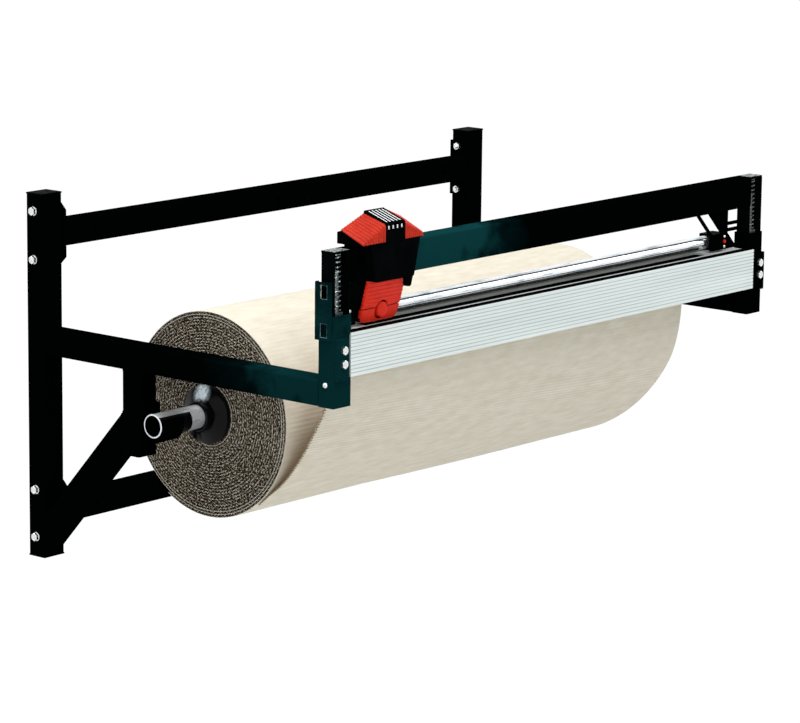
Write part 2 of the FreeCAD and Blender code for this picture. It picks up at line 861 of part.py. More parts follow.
def tube_block(x0, x1, screw_x):
    """The block that grips one end of the tube, with its rear foot cut clear of the board."""
    front = gusset_front_y + gusset_thickness
    rear = front + block_width
    foot = tube_axis_z - block_height / 2
    top = tube_axis_z + block_height / 2
    outline = [(front, foot), (front, top), (rear, top), (rear, foot + block_corner),
               (rear - block_corner, foot)]
    block = profile_x(outline, x0, x1)
    block = block.cut(rod(tube_radius, (x0, tube_axis_y, tube_axis_z), (1, 0, 0), x1 - x0))
    for z in gusset_screw_heights():
        block = block.cut(gusset_screw_shank(screw_x, z))
    return block


def left_block_span():
    x0 = -half_width + left_gusset_inset
    return x0, x0 + left_gusset_width


def right_block_span():
    x1 = half_width - gusset_edge_inset
    return x1 - right_block_width, x1


def guide_tube():
    x0 = left_block_span()[0]
    x1 = right_block_span()[1]
    start = (x0, tube_axis_y, tube_axis_z)
    tube = rod(tube_radius, start, (1, 0, 0), x1 - x0)
    return tube.cut(rod(tube_radius - tube_wall_thickness, start, (1, 0, 0), x1 - x0))


def stop_button():
    return rod(button_radius, (right_screw_x(), gusset_front_y, tube_axis_z), (0, -1, 0),
               button_height)


def head_front_housing():
    """The black front wall of the head, narrower at its foot."""
    c = head_centre_x
    outline = [(c - head_lower_half_width, cover_top_z), (c + head_lower_half_width, cover_top_z),
               (c + head_wall_half_width, shoulder_z), (c - head_wall_half_width, shoulder_z)]
    return profile_y(outline, head_front_y, post_front_y - head_running_gap)


def head_top_housing():
    """The part of the head over the portal bar, under the grips and the ridge."""
    low = portal_top_z + head_running_gap
    wall_y = post_front_y - head_running_gap
    outline = [(head_front_y, shoulder_z), (head_front_y, grip_base_front_z),
               (ridge_rear_y, grip_base_rear_z), (head_rear_y, housing_rear_z),
               (head_rear_y, low), (wall_y, low), (wall_y, shoulder_z)]
    return profile_x(outline, head_centre_x - head_half_width, head_centre_x + head_half_width)


def head_rear_housing():
    """The wall behind the portal bar, which joins the top to the lower housing."""
    c = head_centre_x
    return box(c - head_lower_half_width, c + head_lower_half_width,
               post_rear_y + head_running_gap, head_rear_y,
               portal_foot_z - head_running_gap, portal_top_z + head_running_gap)


def cover_y(z):
    """The front cover's outer face, which leans back towards its foot."""
    share = (z - cover_bottom_z) / (cover_top_z - cover_bottom_z)
    return cover_bottom_y + (cover_top_y - cover_bottom_y) * share


def cover_half(z):
    """The front cover's half width, which narrows below the seam."""
    if z >= cover_seam_z:
        return cover_half_width
    share = (z - cover_bottom_z) / (cover_seam_z - cover_bottom_z)
    return cover_bottom_half_width + (cover_half_width - cover_bottom_half_width) * share


def cover_slab(z0, z1, front_shift, depth):
    corners = []
    for z in (z0, z1):
        front = cover_y(z) - front_shift
        half = cover_half(z)
        for x, y in ((-half, front), (-half, front + depth), (half, front + depth), (half, front)):
            corners.append((head_centre_x + x, y, z))
    return hexahedron(corners)


def boss_rod(radius, rear_y):
    front = cover_y(blade_axis_z) - boss_proud
    return rod(radius, (head_centre_x, front, blade_axis_z), (0, 1, 0), rear_y - front)


def boss_rear_y():
    return blade_plane_y - blade_slot_width / 2


def head_lower_housing():
    """The lower block: it hangs on the guide tube, open below, and holds the blade."""
    c = head_centre_x
    top = portal_foot_z - head_running_gap
    outline = [(cover_y(lower_bottom_z) + cover_thickness, lower_bottom_z),
               (cover_y(top) + cover_thickness, top), (lower_rear_y, top),
               (lower_rear_y, lower_bottom_z)]
    block = profile_x(outline, c - lower_half_width, c + lower_half_width)
    bore = rod(bush_outer_radius(), (c - lower_half_width, tube_axis_y, tube_axis_z),
               (1, 0, 0), 2 * lower_half_width)
    slot = rod(blade_radius + head_running_gap, (c, boss_rear_y(), blade_axis_z), (0, 1, 0),
               blade_slot_width)
    return block.cut(bore).cut(slot).cut(boss_rod(boss_radius, boss_rear_y())).cut(blade_pin())


def bush_outer_radius():
    return tube_radius + bearing_clearance + bush_thickness


def ridge():
    """The black slotted ridge between the two grips."""
    c = head_centre_x
    outline = [(head_front_y, grip_base_front_z), (head_front_y, ridge_front_z),
               (ridge_rear_y, ridge_rear_z), (ridge_rear_y, grip_base_rear_z)]
    block = profile_x(outline, c - ridge_half_width, c + ridge_half_width)
    slope = (ridge_rear_z - ridge_front_z) / (ridge_rear_y - head_front_y)
    pitch = 2 * (ridge_half_width - ridge_margin) / ridge_slot_count
    y0 = head_front_y + ridge_margin
    y1 = ridge_rear_y - ridge_margin
    z0 = ridge_front_z + slope * ridge_margin
    z1 = ridge_rear_z - slope * ridge_margin
    cut = [(y0, z0 - ridge_slot_depth), (y0, z0 + ridge_margin),
           (y1, z1 + ridge_margin), (y1, z1 - ridge_slot_depth)]
    for slot in range(ridge_slot_count):
        x = c - ridge_half_width + ridge_margin + pitch * (slot + 0.5)
        block = block.cut(profile_x(cut, x - ridge_slot_width / 2, x + ridge_slot_width / 2))
    return block


def hexahedron(corners):
    """A solid with six flat faces from its four lower and four upper corners."""
    points = [Vector(*corner) for corner in corners]
    rings = [(0, 1, 2, 3), (4, 5, 6, 7), (0, 1, 5, 4), (1, 2, 6, 5), (2, 3, 7, 6), (3, 0, 4, 7)]
    faces = [Part.Face(Part.makePolygon([points[i] for i in ring] + [points[ring[0]]]))
             for ring in rings]
    solid = Part.Solid(Part.makeShell(faces))
    if solid.Volume < 0:
        solid.reverse()
    return solid


def grip(side, span):
    """One red grip, which falls away outward and forward from the ridge, with ribs."""
    inner = head_centre_x + side * ridge_half_width
    outer = head_centre_x + side * span
    front_z = ridge_front_z - grip_drop
    rear_z = ridge_rear_z - grip_drop
    body = hexahedron([
        (inner, head_front_y, grip_base_front_z), (inner, ridge_rear_y, grip_base_rear_z),
        (outer, ridge_rear_y, grip_base_rear_z), (outer, head_front_y, grip_base_front_z),
        (inner, head_front_y, front_z), (inner, ridge_rear_y, rear_z),
        (outer, ridge_rear_y, rear_z - grip_fall), (outer, head_front_y, front_z - grip_fall)])
    pitch = (span - ridge_half_width) / grip_rib_count
    for rib in range(1, grip_rib_count):
        x = inner + side * pitch * rib
        fall = grip_fall * rib / grip_rib_count + grip_rib_depth
        cut = [(head_front_y, front_z - fall), (head_front_y, front_z + grip_drop),
               (ridge_rear_y, rear_z + grip_drop), (ridge_rear_y, rear_z - fall)]
        body = body.cut(profile_x(cut, x - grip_groove_width / 2, x + grip_groove_width / 2))
    return body


def upper_cover():
    slab = cover_slab(cover_seam_z + cover_gap, cover_top_z, 0, cover_thickness)
    for index in range(cover_ridge_count):
        z = cover_top_z - cover_ridge_pitch * (index + 1)
        slab = slab.fuse(cover_slab(z, z + cover_ridge_height, cover_ridge_proud,
                                    cover_ridge_proud + cover_thickness / 2))
    return slab.removeSplitter().cut(boss_rod(boss_radius + cover_gap, boss_rear_y()))


def lower_cover():
    slab = cover_slab(cover_bottom_z, cover_seam_z, 0, cover_thickness)
    return slab.cut(boss_rod(boss_radius + cover_gap, boss_rear_y()))


def blade_boss():
    """The round cap in front of the blade, which carries the front end of its pin."""
    return boss_rod(boss_radius, boss_rear_y()).cut(blade_pin())


def rotary_blade():
    start = (head_centre_x, blade_plane_y - blade_thickness / 2, blade_axis_z)
    disc = rod(blade_radius, start, (0, 1, 0), blade_thickness)
    return disc.cut(rod(blade_bore_radius, start, (0, 1, 0), blade_thickness))


def blade_pin():
    front = boss_rear_y() - blade_pin_seat
    rear = tube_axis_y - bush_outer_radius() - bearing_clearance
    return rod(blade_pin_radius, (head_centre_x, front, blade_axis_z), (0, 1, 0), rear - front)


def rear_cover():
    c = head_centre_x
    return box(c - rear_cover_width / 2, c + rear_cover_width / 2, lower_rear_y,
               lower_rear_y + rear_cover_thickness, rear_cover_foot_z,
               rear_cover_foot_z + rear_cover_height)


def tube_bush(side):
    """A bearing ring in the lower housing, open below as the housing is."""
    x0 = head_centre_x + side * lower_half_width
    direction = (-side, 0, 0)
    start = (x0, tube_axis_y, tube_axis_z)
    ring = rod(bush_outer_radius(), start, direction, bush_length)
    ring = ring.cut(rod(tube_radius + bearing_clearance, start, direction, bush_length))
    reach = bush_outer_radius()
    return ring.cut(box(x0 - bush_length, x0 + bush_length, tube_axis_y - reach,
                        tube_axis_y + reach, tube_axis_z - reach, lower_bottom_z))


def bar_glide(side, wall_y, outward):
    """A plastic pad on the head's wall, beside the portal bar."""
    x = head_centre_x + side * (head_lower_half_width - glide_length)
    z = portal_foot_z + (portal_height - glide_height) / 2
    y0 = min(wall_y, wall_y + outward * glide_thickness)
    return box(x - glide_length / 2, x + glide_length / 2, y0, y0 + glide_thickness, z,
               z + glide_height)


def web_outline(half):
    """One face of the board, from the roll to its cut edge, as (y, z) arcs and lines.

    The last arc turns it over the rail. The sweep arc rises to upright, and the first arc
    leaves the roll smoothly: its radius makes it touch the roll's circle from outside.
    """
    theta = math.radians(web_sweep_angle)
    normal = (math.sin(theta), math.cos(theta))
    sweep_centre = (web_front_y + web_sweep_radius, web_upright_z)
    meet = [centre - web_sweep_radius * n for centre, n in zip(sweep_centre, normal)]
    hug = roll_radius + web_clear + web_thickness / 2
    gap = (meet[0] - cradle_centre_y, meet[1] - shaft_axis_z)
    toward = gap[0] * normal[0] + gap[1] * normal[1]
    leave_radius = (hug ** 2 - gap[0] ** 2 - gap[1] ** 2) / (2 * (toward + hug))
    leave_centre = [m + leave_radius * n for m, n in zip(meet, normal)]
    leave = math.atan2(leave_centre[0] - cradle_centre_y, leave_centre[1] - shaft_axis_z)
    turn_centre = (rail_rear_y, rail_top_z + web_thickness / 2 - web_turn_radius)

    def on_arc(centre, radius, angle):
        return (centre[0] - radius * math.sin(angle), centre[1] - radius * math.cos(angle))

    upright = math.pi / 2
    pieces = [[on_arc(leave_centre, leave_radius + half, leave + (theta - leave) * step / 2)
               for step in range(3)],
              [on_arc(sweep_centre, web_sweep_radius + half, theta + (upright - theta) * step / 2)
               for step in range(3)]]
    turn = [on_arc(turn_centre, web_turn_radius - half, -upright - upright * step / 2)
            for step in range(3)]
    pieces.append([pieces[-1][-1], turn[0]])
    pieces.append(turn)
    pieces.append([turn[-1], (web_edge_y, turn[-1][1])])
    return pieces


def board_web():
    """The board between the roll and its cut edge on the rail."""
    outer = web_outline(web_thickness / 2)
    inner = web_outline(-web_thickness / 2)
    edges = []
    for pieces in (outer, inner):
        for piece in pieces:
            points = [Vector(roll_left_x, y, z) for y, z in piece]
            if len(points) == 3:
                edges.append(Part.Arc(*points).toShape())
            else:
                edges.append(Part.LineSegment(*points).toShape())
    for end in (0, -1):
        corner_points = [Vector(roll_left_x, *pieces[end][end]) for pieces in (outer, inner)]
        edges.append(Part.LineSegment(*corner_points).toShape())
    outline = Part.Wire(Part.sortEdges(edges)[0])
    return Part.Face(outline).extrude(Vector(roll_right_x - roll_left_x, 0, 0))


os.makedirs("parts", exist_ok=True)

save_pair("upright", upright())
caps = [upright_cap(upright_foot_z + upright_tube_height, 1), upright_cap(upright_foot_z, -1)]
save("upright_caps", *caps, *[mirrored(cap) for cap in caps])
save("top_crossbar", crossbar(screw_spacing_z / 2))
save("bottom_crossbar", crossbar(-screw_spacing_z / 2))
plates = [end_plate(z) for z in (screw_spacing_z / 2, -screw_spacing_z / 2)]
save("bar_end_plates", *plates, *[mirrored(plate) for plate in plates])
for node, make in (("frame_bolts", frame_bolt), ("frame_washers", frame_washer),
                   ("frame_nuts", frame_nut)):
    left = [make(z) for z in bolt_heights()]
    save(node, *left, *[mirrored(piece) for piece in left])

save_pair("arm", arm())
save_pair("hanger", hanger())
save_pair("brace", brace())
save("roll_cradles", cradle(), mirrored(cradle()))

save("roll_shaft", shaft())
roll_ends = ((roll_left_x, -1), (roll_right_x, 1))
save("core_plugs", *[core_plug(x, outward) for x, outward in roll_ends])
save("shaft_collars", *[shaft_collar(x, outward) for x, outward in roll_ends])
save("collar_screws", *[collar_screw(x, outward) for x, outward in roll_ends])
save("roll_core", ring_x(core_outer_radius, core_inner_radius, roll_left_x, roll_right_x))
save("board_roll", ring_x(roll_radius, core_outer_radius, roll_left_x, roll_right_x))
save("board_web", board_web())

save_pair("post_sleeve", post_sleeve())
save("spring_seats", spring_seat(), mirrored(spring_seat()))
save("seat_screws", seat_screw(), mirrored(seat_screw()))
save_pair("upper_post", upper_post())
save("post_caps", post_cap(), mirrored(post_cap()))
spring_x = half_width - arm_size / 2
save("post_springs", spring(-spring_x), spring(spring_x))
print("spring least gap", round(least_gap(spring_path(spring_x)), 2))
save("window_bracket", window_bracket())

save("cutting_rail", fascia(), rail_beam(), *groove_bars(), *groove_blocks())
save("edge_strip", edge_strip())
save("cutting_mat", cutting_mat())
save("rail_plates", front_plate(), mirrored(front_plate()))
plate_bolts = [plate_bolt(z) for z in plate_bolt_heights]
save("rail_plate_bolts", *plate_bolts, *[mirrored(bolt) for bolt in plate_bolts])

save("portal_bar", portal_bar())
save("left_gusset", left_gusset())
save("right_gusset", right_gusset())
save("tube_blocks", tube_block(*left_block_span(), left_screw_x()),
     tube_block(*right_block_span(), right_screw_x()))
save("guide_tube", guide_tube())
post_inner_x = half_width - arm_size + upper_post_inset
save("tie_rods", tie_rod(-post_inner_x, -half_width + left_gusset_inset, tie_rod_heights[-1]),
     *[tie_rod(half_width - gusset_edge_inset, post_inner_x, z) for z in tie_rod_heights])
save("gusset_screws", *[gusset_screw(x, z) for x in (left_screw_x(), right_screw_x())
                        for z in gusset_screw_heights()])
save("stop_button", stop_button())

save("head_front_housing", head_front_housing())
save("head_top_housing", head_top_housing())
save("head_rear_housing", head_rear_housing())
save("head_lower_housing", head_lower_housing())
save("grip_ridge", ridge())
save("left_grip", grip(-1, left_grip_span))
save("right_grip", grip(1, right_grip_span))
save("upper_cover", upper_cover())
save("lower_cover", lower_cover())
save("rear_cover", rear_cover())
save("blade_boss", blade_boss())
save("tube_bushes", tube_bush(-1), tube_bush(1))
bar_walls = ((post_front_y - head_running_gap, 1), (post_rear_y + head_running_gap, -1))
save("bar_glides", *[bar_glide(side, wall_y, outward) for side in (-1, 1)
                     for wall_y, outward in bar_walls])
save("rotary_blade", rotary_blade())
save("blade_pin", blade_pin())
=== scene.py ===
import math
import random

import bmesh
import bpy
import numpy as np
from mathutils import Matrix, Vector


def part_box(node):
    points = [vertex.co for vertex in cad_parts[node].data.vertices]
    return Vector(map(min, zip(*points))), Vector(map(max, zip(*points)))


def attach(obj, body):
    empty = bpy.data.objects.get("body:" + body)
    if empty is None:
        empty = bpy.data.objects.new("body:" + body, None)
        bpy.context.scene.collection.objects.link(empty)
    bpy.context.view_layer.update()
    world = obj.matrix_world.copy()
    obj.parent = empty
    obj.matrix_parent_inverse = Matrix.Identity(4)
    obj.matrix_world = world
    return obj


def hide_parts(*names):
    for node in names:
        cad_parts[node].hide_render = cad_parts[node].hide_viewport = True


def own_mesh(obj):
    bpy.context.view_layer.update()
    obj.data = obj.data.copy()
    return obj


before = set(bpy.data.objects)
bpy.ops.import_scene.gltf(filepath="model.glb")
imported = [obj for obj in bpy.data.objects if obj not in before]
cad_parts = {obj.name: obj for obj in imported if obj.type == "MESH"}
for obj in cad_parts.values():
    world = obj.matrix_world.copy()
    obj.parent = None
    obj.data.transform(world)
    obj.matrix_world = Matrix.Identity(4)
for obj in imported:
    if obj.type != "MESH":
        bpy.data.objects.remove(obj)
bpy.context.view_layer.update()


# The view.
# A long lens stands at the left front, a little above the rail. A large soft box lights the
# machine from above, weaker ones from the front, the sides and behind, and a pale room all round.
camera_place = Vector((-4.9783, -4.5457, 1.2759))
aim_turn = math.radians(49.844)
aim_drop = math.radians(11.247)
aim_roll = math.radians(-0.63)
ahead = Vector((math.sin(aim_turn) * math.cos(aim_drop), math.cos(aim_turn) * math.cos(aim_drop),
                -math.sin(aim_drop)))
level = Vector((math.cos(aim_turn), -math.sin(aim_turn), 0))
down = ahead.cross(level)
picture_right = math.cos(aim_roll) * level + math.sin(aim_roll) * down
picture_down = math.cos(aim_roll) * down - math.sin(aim_roll) * level
camera = bpy.data.objects.new("camera", bpy.data.cameras.new("camera"))
camera.data.sensor_fit = "HORIZONTAL"
camera.data.sensor_width = 36
camera.data.lens = 162.77
camera.data.clip_end = 200
camera.matrix_world = Matrix((
    (picture_right.x, -picture_down.x, -ahead.x, camera_place.x),
    (picture_right.y, -picture_down.y, -ahead.y, camera_place.y),
    (picture_right.z, -picture_down.z, -ahead.z, camera_place.z),
    (0, 0, 0, 1)))
bpy.context.scene.collection.objects.link(camera)
bpy.context.scene.camera = camera
bpy.context.scene.view_settings.view_transform = "Standard"


def seen_directly(tree):
    """1 for rays that show the background: straight, in gloss or through glass."""
    path = tree.nodes.new("ShaderNodeLightPath")
    glossy = tree.nodes.new("ShaderNodeMath")
    glossy.operation = "MAXIMUM"
    tree.links.new(path.outputs["Is Camera Ray"], glossy.inputs[0])
    tree.links.new(path.outputs["Is Glossy Ray"], glossy.inputs[1])
    clear = tree.nodes.new("ShaderNodeMath")
    clear.operation = "MAXIMUM"
    tree.links.new(glossy.outputs[0], clear.inputs[0])
    tree.links.new(path.outputs["Is Transmission Ray"], clear.inputs[1])
    return clear.outputs[0]


room = bpy.data.worlds.new("room")
room.use_nodes = True
bpy.context.scene.world = room
room_light = room.node_tree.nodes["Background"]
room_light.inputs["Color"].default_value = (0.93, 0.97, 1.0, 1)
room_light.inputs["Strength"].default_value = 0.32
room_backdrop = room.node_tree.nodes.new("ShaderNodeBackground")
room_backdrop.inputs["Color"].default_value = (1, 1, 1, 1)
room_backdrop.inputs["Strength"].default_value = 1.06
room_mix = room.node_tree.nodes.new("ShaderNodeMixShader")
room.node_tree.links.new(seen_directly(room.node_tree), room_mix.inputs["Fac"])
room.node_tree.links.new(room_light.outputs[0], room_mix.inputs[1])
room.node_tree.links.new(room_backdrop.outputs[0], room_mix.inputs[2])
room.node_tree.links.new(room_mix.outputs[0],
                         room.node_tree.nodes["World Output"].inputs["Surface"])

machine_middle = Vector((0, -0.4, 0))
for lamp_name, lamp_place, lamp_size, lamp_watts in (
        ("lamp_above", (-1.0, -1.3, 3.6), 2.6, 118),
        ("lamp_front", (-2.6, -4.2, 1.2), 2.4, 42),
        ("lamp_right", (3.4, -2.2, 1.6), 2.0, 24),
        ("lamp_behind", (1.0, 2.4, 2.2), 2.0, 20),
        ("lamp_left", (-2.36, 1.71, 1.18), 0.8, 18)):
    lamp = bpy.data.objects.new(lamp_name, bpy.data.lights.new(lamp_name, "AREA"))
    lamp.data.size = lamp_size
    lamp.data.energy = lamp_watts
    lamp.location = lamp_place
    lamp.rotation_euler = (machine_middle - lamp.location).to_track_quat("-Z", "Y").to_euler()
    bpy.context.scene.collection.objects.link(lamp)

floor_reach = 60
floor_height = -1.1
floor_mesh = bpy.data.meshes.new("floor")
floor_mesh.from_pydata([(x * floor_reach, y * floor_reach, floor_height)
                        for x, y in ((-1, -1), (1, -1), (1, 1), (-1, 1))], [], [(0, 1, 2, 3)])
floor = bpy.data.objects.new("floor", floor_mesh)
bpy.context.scene.collection.objects.link(floor)
floor_finish = bpy.data.materials.new("pale_floor")
floor_finish.use_nodes = True
floor_shader = floor_finish.node_tree.nodes["Principled BSDF"]
floor_shader.inputs["Base Color"].default_value = (0.8, 0.8, 0.8, 1)
floor_shader.inputs["Roughness"].default_value = 0.9
floor_shader.inputs["Specular IOR Level"].default_value = 0.0
floor_glow = floor_finish.node_tree.nodes.new("ShaderNodeEmission")
floor_glow.inputs["Color"].default_value = (1, 1, 1, 1)
floor_glow.inputs["Strength"].default_value = 1.08
floor_share = floor_finish.node_tree.nodes.new("ShaderNodeMath")
floor_share.operation = "MULTIPLY"
floor_share.inputs[1].default_value = 0.93
floor_mix = floor_finish.node_tree.nodes.new("ShaderNodeMixShader")
floor_links = floor_finish.node_tree.links
floor_links.new(seen_directly(floor_finish.node_tree), floor_share.inputs[0])
floor_links.new(floor_share.outputs[0], floor_mix.inputs["Fac"])
floor_links.new(floor_shader.outputs[0], floor_mix.inputs[1])
floor_links.new(floor_glow.outputs[0], floor_mix.inputs[2])
floor_links.new(floor_mix.outputs[0],
                floor_finish.node_tree.nodes["Material Output"].inputs["Surface"])
floor_mesh.materials.append(floor_finish)


# Wall frame tubes.
# Rolled square steel tube with rounded corners, sawn to length, welded, and sprayed in a black
# enamel. Near the cutting head a teal sheen is painted into its colour: a painted reflection.
def new_finish(name, roughness=0.5, metallic=0.0, gloss=0.5):
    """A material with its even values set, ready for its colours and grain."""
    finish = bpy.data.materials.new(name)
    finish.use_nodes = True
    shader = finish.node_tree.nodes["Principled BSDF"]
    shader.inputs["Roughness"].default_value = roughness
    shader.inputs["Metallic"].default_value = metallic
    shader.inputs["Specular IOR Level"].default_value = gloss
    return finish


def grain(finish, size, detail, stretch=(1, 1, 1)):
    """Noise fixed to the piece. size is the width of its spots in metres."""
    tree = finish.node_tree
    place = tree.nodes.new("ShaderNodeTexCoord")
    scaled = tree.nodes.new("ShaderNodeMapping")
    scaled.inputs["Scale"].default_value = stretch
    noise = tree.nodes.new("ShaderNodeTexNoise")
    noise.inputs["Scale"].default_value = 1 / size
    noise.inputs["Detail"].default_value = detail
    tree.links.new(place.outputs["Object"], scaled.inputs["Vector"])
    tree.links.new(scaled.outputs[0], noise.inputs["Vector"])
    return noise.outputs["Fac"]


def shaded(finish, source, stops):
    """Base colour along a ramp: stops are (position, colour)."""
    tree = finish.node_tree
    ramp = tree.nodes.new("ShaderNodeValToRGB")
    while len(ramp.color_ramp.elements) < len(stops):
        ramp.color_ramp.elements.new(1.0)
    for element, (position, colour) in zip(ramp.color_ramp.elements, stops):
        element.position = position
        element.color = (*colour, 1)
    tree.links.new(source, ramp.inputs["Fac"])
    tree.links.new(ramp.outputs["Color"],
                   tree.nodes["Principled BSDF"].inputs["Base Color"])


def roughened(finish, source, low, high):
    """Roughness from low to high, as the grain says."""
    tree = finish.node_tree
    spread = tree.nodes.new("ShaderNodeMapRange")
    spread.inputs["From Min"].default_value = 0.3
    spread.inputs["From Max"].default_value = 0.7
    spread.inputs["To Min"].default_value = low
    spread.inputs["To Max"].default_value = high
    tree.links.new(source, spread.inputs["Value"])
    tree.links.new(spread.outputs[0], tree.nodes["Principled BSDF"].inputs["Roughness"])


def embossed(finish, source, height):
    """A relief of that height in metres."""
    tree = finish.node_tree
    bump = tree.nodes.new("ShaderNodeBump")
    bump.inputs["Strength"].default_value = 1.0
    bump.inputs["Distance"].default_value = height
    tree.links.new(source, bump.inputs["Height"])
    tree.links.new(bump.outputs[0], tree.nodes["Principled BSDF"].inputs["Normal"])


def around(finish, source, centre, reach):
    """The grain, fading from a centre to nothing at a reach in metres."""
    tree = finish.node_tree
    place = tree.nodes.new("ShaderNodeTexCoord")
    scaled = tree.nodes.new("ShaderNodeMapping")
    scaled.inputs["Scale"].default_value = (1 / reach, 1 / reach, 1 / reach)
    scaled.inputs["Location"].default_value = [-c / reach for c in centre]
    ball = tree.nodes.new("ShaderNodeTexGradient")
    ball.gradient_type = "SPHERICAL"
    tree.links.new(place.outputs["Object"], scaled.inputs["Vector"])
    tree.links.new(scaled.outputs[0], ball.inputs["Vector"])
    faded = tree.nodes.new("ShaderNodeMath")
    faded.operation = "MULTIPLY"
    tree.links.new(ball.outputs["Fac"], faded.inputs[0])
    tree.links.new(source, faded.inputs[1])
    return faded.outputs[0]


def black_with_painted_sheen(name, centre, reach, stops):
    """Black enamel with a painted teal sheen: a painted reflection fading from a centre to nothing at
    a reach.
    """
    finish = new_finish(name, gloss=0.0)
    shaded(finish, around(finish, grain(finish, 0.05, 5.0), centre, reach), stops)
    roughened(finish, grain(finish, 0.02, 4.0), 0.24, 0.40)
    embossed(finish, grain(finish, 0.0022, 2.0), 0.00004)
    return finish


# The teal in these stops is a painted sheen, strongest near the left arm's front end.
black_enamel = black_with_painted_sheen("black_enamel", centre=(-0.60, -0.66, 0.10), reach=0.27, stops=[
    (0.06, (0.0004, 0.0008, 0.0009)), (0.20, (0.0007, 0.0045, 0.0050)),
    (0.36, (0.0026, 0.026, 0.028))])


def loft(rings, capped=True, looped=False):
    """The points and faces of a skin over rings of points."""
    count = len(rings[0])
    points = [tuple(point) for ring in rings for point in ring]
    pairs = [(row, row + 1) for row in range(len(rings) - 1)]
    if looped:
        pairs.append((len(rings) - 1, 0))
    faces = [(a * count + i, a * count + (i + 1) % count, b * count + (i + 1) % count,
              b * count + i) for a, b in pairs for i in range(count)]
    if capped:
        faces.append(tuple(reversed(range(count))))
        faces.append(tuple(range((len(rings) - 1) * count, len(rings) * count)))
    return points, faces


def joined(*parts):
    """Several skins as one."""
    points, faces = [], []
    for part_points, part_faces in parts:
        start = len(points)
        points += part_points
        faces += [tuple(index + start for index in face) for face in part_faces]
    return points, faces


def mirrored(part):
    """The same skin on the other side of the machine's middle."""
    points, faces = part
    return [(-x, y, z) for x, y, z in points], [tuple(reversed(face)) for face in faces]


def place(name, part, finish, body, slot, stands_for=(), smooth=38):
    """A piece from a skin in millimetres, with its finish, riding on a body."""
    points, faces = part
    mesh = bpy.data.meshes.new(name)
    mesh.from_pydata((np.array(points, float) * 0.001).tolist(), [], faces)
    shape = bmesh.new()
    shape.from_mesh(mesh)
    bmesh.ops.recalc_face_normals(shape, faces=shape.faces)
    shape.to_mesh(mesh)
    shape.free()
    mesh.shade_smooth()
    mesh.set_sharp_from_angle(angle=math.radians(smooth))
    mesh.materials.append(finish)
    piece = bpy.data.objects.new(name, mesh)
    bpy.context.scene.collection.objects.link(piece)
    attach(piece, body)
    if stands_for:
        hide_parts(*stands_for)
    return piece


def rounded_outline(width, height, radius, steps=5):
    """Points round a rectangle with rounded corners."""
    points = []
    for quarter, (cu, cv) in enumerate(((1, 1), (-1, 1), (-1, -1), (1, -1))):
        for step in range(steps + 1):
            angle = math.radians(90 * quarter + 90 * step / steps)
            points.append((cu * (width / 2 - radius) + radius * math.cos(angle),
                           cv * (height / 2 - radius) + radius * math.sin(angle)))
    return points


def square_tube(start, end, across, up, width, height, wall=2.5, radius=4.5):
    """A hollow tube between two end planes that across and up span."""
    outer = rounded_outline(width, height, radius)
    inner = rounded_outline(width - 2 * wall, height - 2 * wall, max(radius - wall, 0.8))
    rings = []
    for outline, centre in ((outer, start), (outer, end), (inner, end), (inner, start)):
        rings.append([Vector(centre) + Vector(across) * u + Vector(up) * v for u, v in outline])
    return loft(rings, capped=False, looped=True)


def corners(node):
    """A CAD node's lowest and highest corner in millimetres."""
    low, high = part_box(node)
    return [c * 1000 for c in low], [c * 1000 for c in high]


def straight_tube(node, along, **sizes):
    """A square tube in the place of a CAD node, along x, y or z."""
    low, high = corners(node)
    middle = [(a + b) / 2 for a, b in zip(low, high)]
    run = "xyz".index(along)
    first, second = [axis for axis in range(3) if axis != run]
    start, end = list(middle), list(middle)
    start[run], end[run] = low[run], high[run]
    across, up = [0, 0, 0], [0, 0, 0]
    across[first], up[second] = 1, 1
    return square_tube(start, end, across, up, high[first] - low[first],
                       high[second] - low[second], **sizes)


def applied(piece, modifier):
    """Makes a modifier's result the piece's own mesh."""
    bpy.context.view_layer.update()
    solved = bpy.data.meshes.new_from_object(
        piece.evaluated_get(bpy.context.evaluated_depsgraph_get()))
    piece.modifiers.remove(modifier)
    old = piece.data
    piece.data = solved
    bpy.data.meshes.remove(old)
    return piece


def drilled(piece, centre, direction, radius, depth, smooth=38):
    """Drills a round hole in a piece, in millimetres."""
    turned_round = Vector(direction).to_track_quat("Z", "Y").to_matrix()
    rings = [[Vector(centre) + turned_round @ Vector(
        (radius * math.cos(math.tau * i / 40), radius * math.sin(math.tau * i / 40), depth * end))
        for i in range(40)] for end in (0, 1)]
    points, faces = loft(rings)
    bit_mesh = bpy.data.meshes.new("drill_bit")
    bit_mesh.from_pydata((np.array(points, float) * 0.001).tolist(), [], faces)
    bit = bpy.data.objects.new("drill_bit", bit_mesh)
    bpy.context.scene.collection.objects.link(bit)
    cut = piece.modifiers.new("cut", "BOOLEAN")
    cut.operation = "DIFFERENCE"
    cut.solver = "EXACT"
    cut.object = bit
    applied(piece, cut)
    bpy.data.objects.remove(bit)
    bpy.data.meshes.remove(bit_mesh)
    piece.data.shade_smooth()
    piece.data.set_sharp_from_angle(angle=math.radians(smooth))
    return piece


for side in ("left", "right"):
    place(side + "_upright_tube", straight_tube(side + "_upright", "z"), black_enamel,
          "wall_frame", "frame_black", [side + "_upright"])
    place(side + "_arm_tube", straight_tube(side + "_arm", "y"), black_enamel,
          "wall_frame", "frame_black", [side + "_arm"])
    place(side + "_hanger_tube", straight_tube(side + "_hanger", "z"), black_enamel,
          "wall_frame", "frame_black", [side + "_hanger"])
    place(side + "_sleeve_tube", straight_tube(side + "_post_sleeve", "z", radius=3.5),
          black_enamel, "wall_frame", "frame_black", [side + "_post_sleeve"])

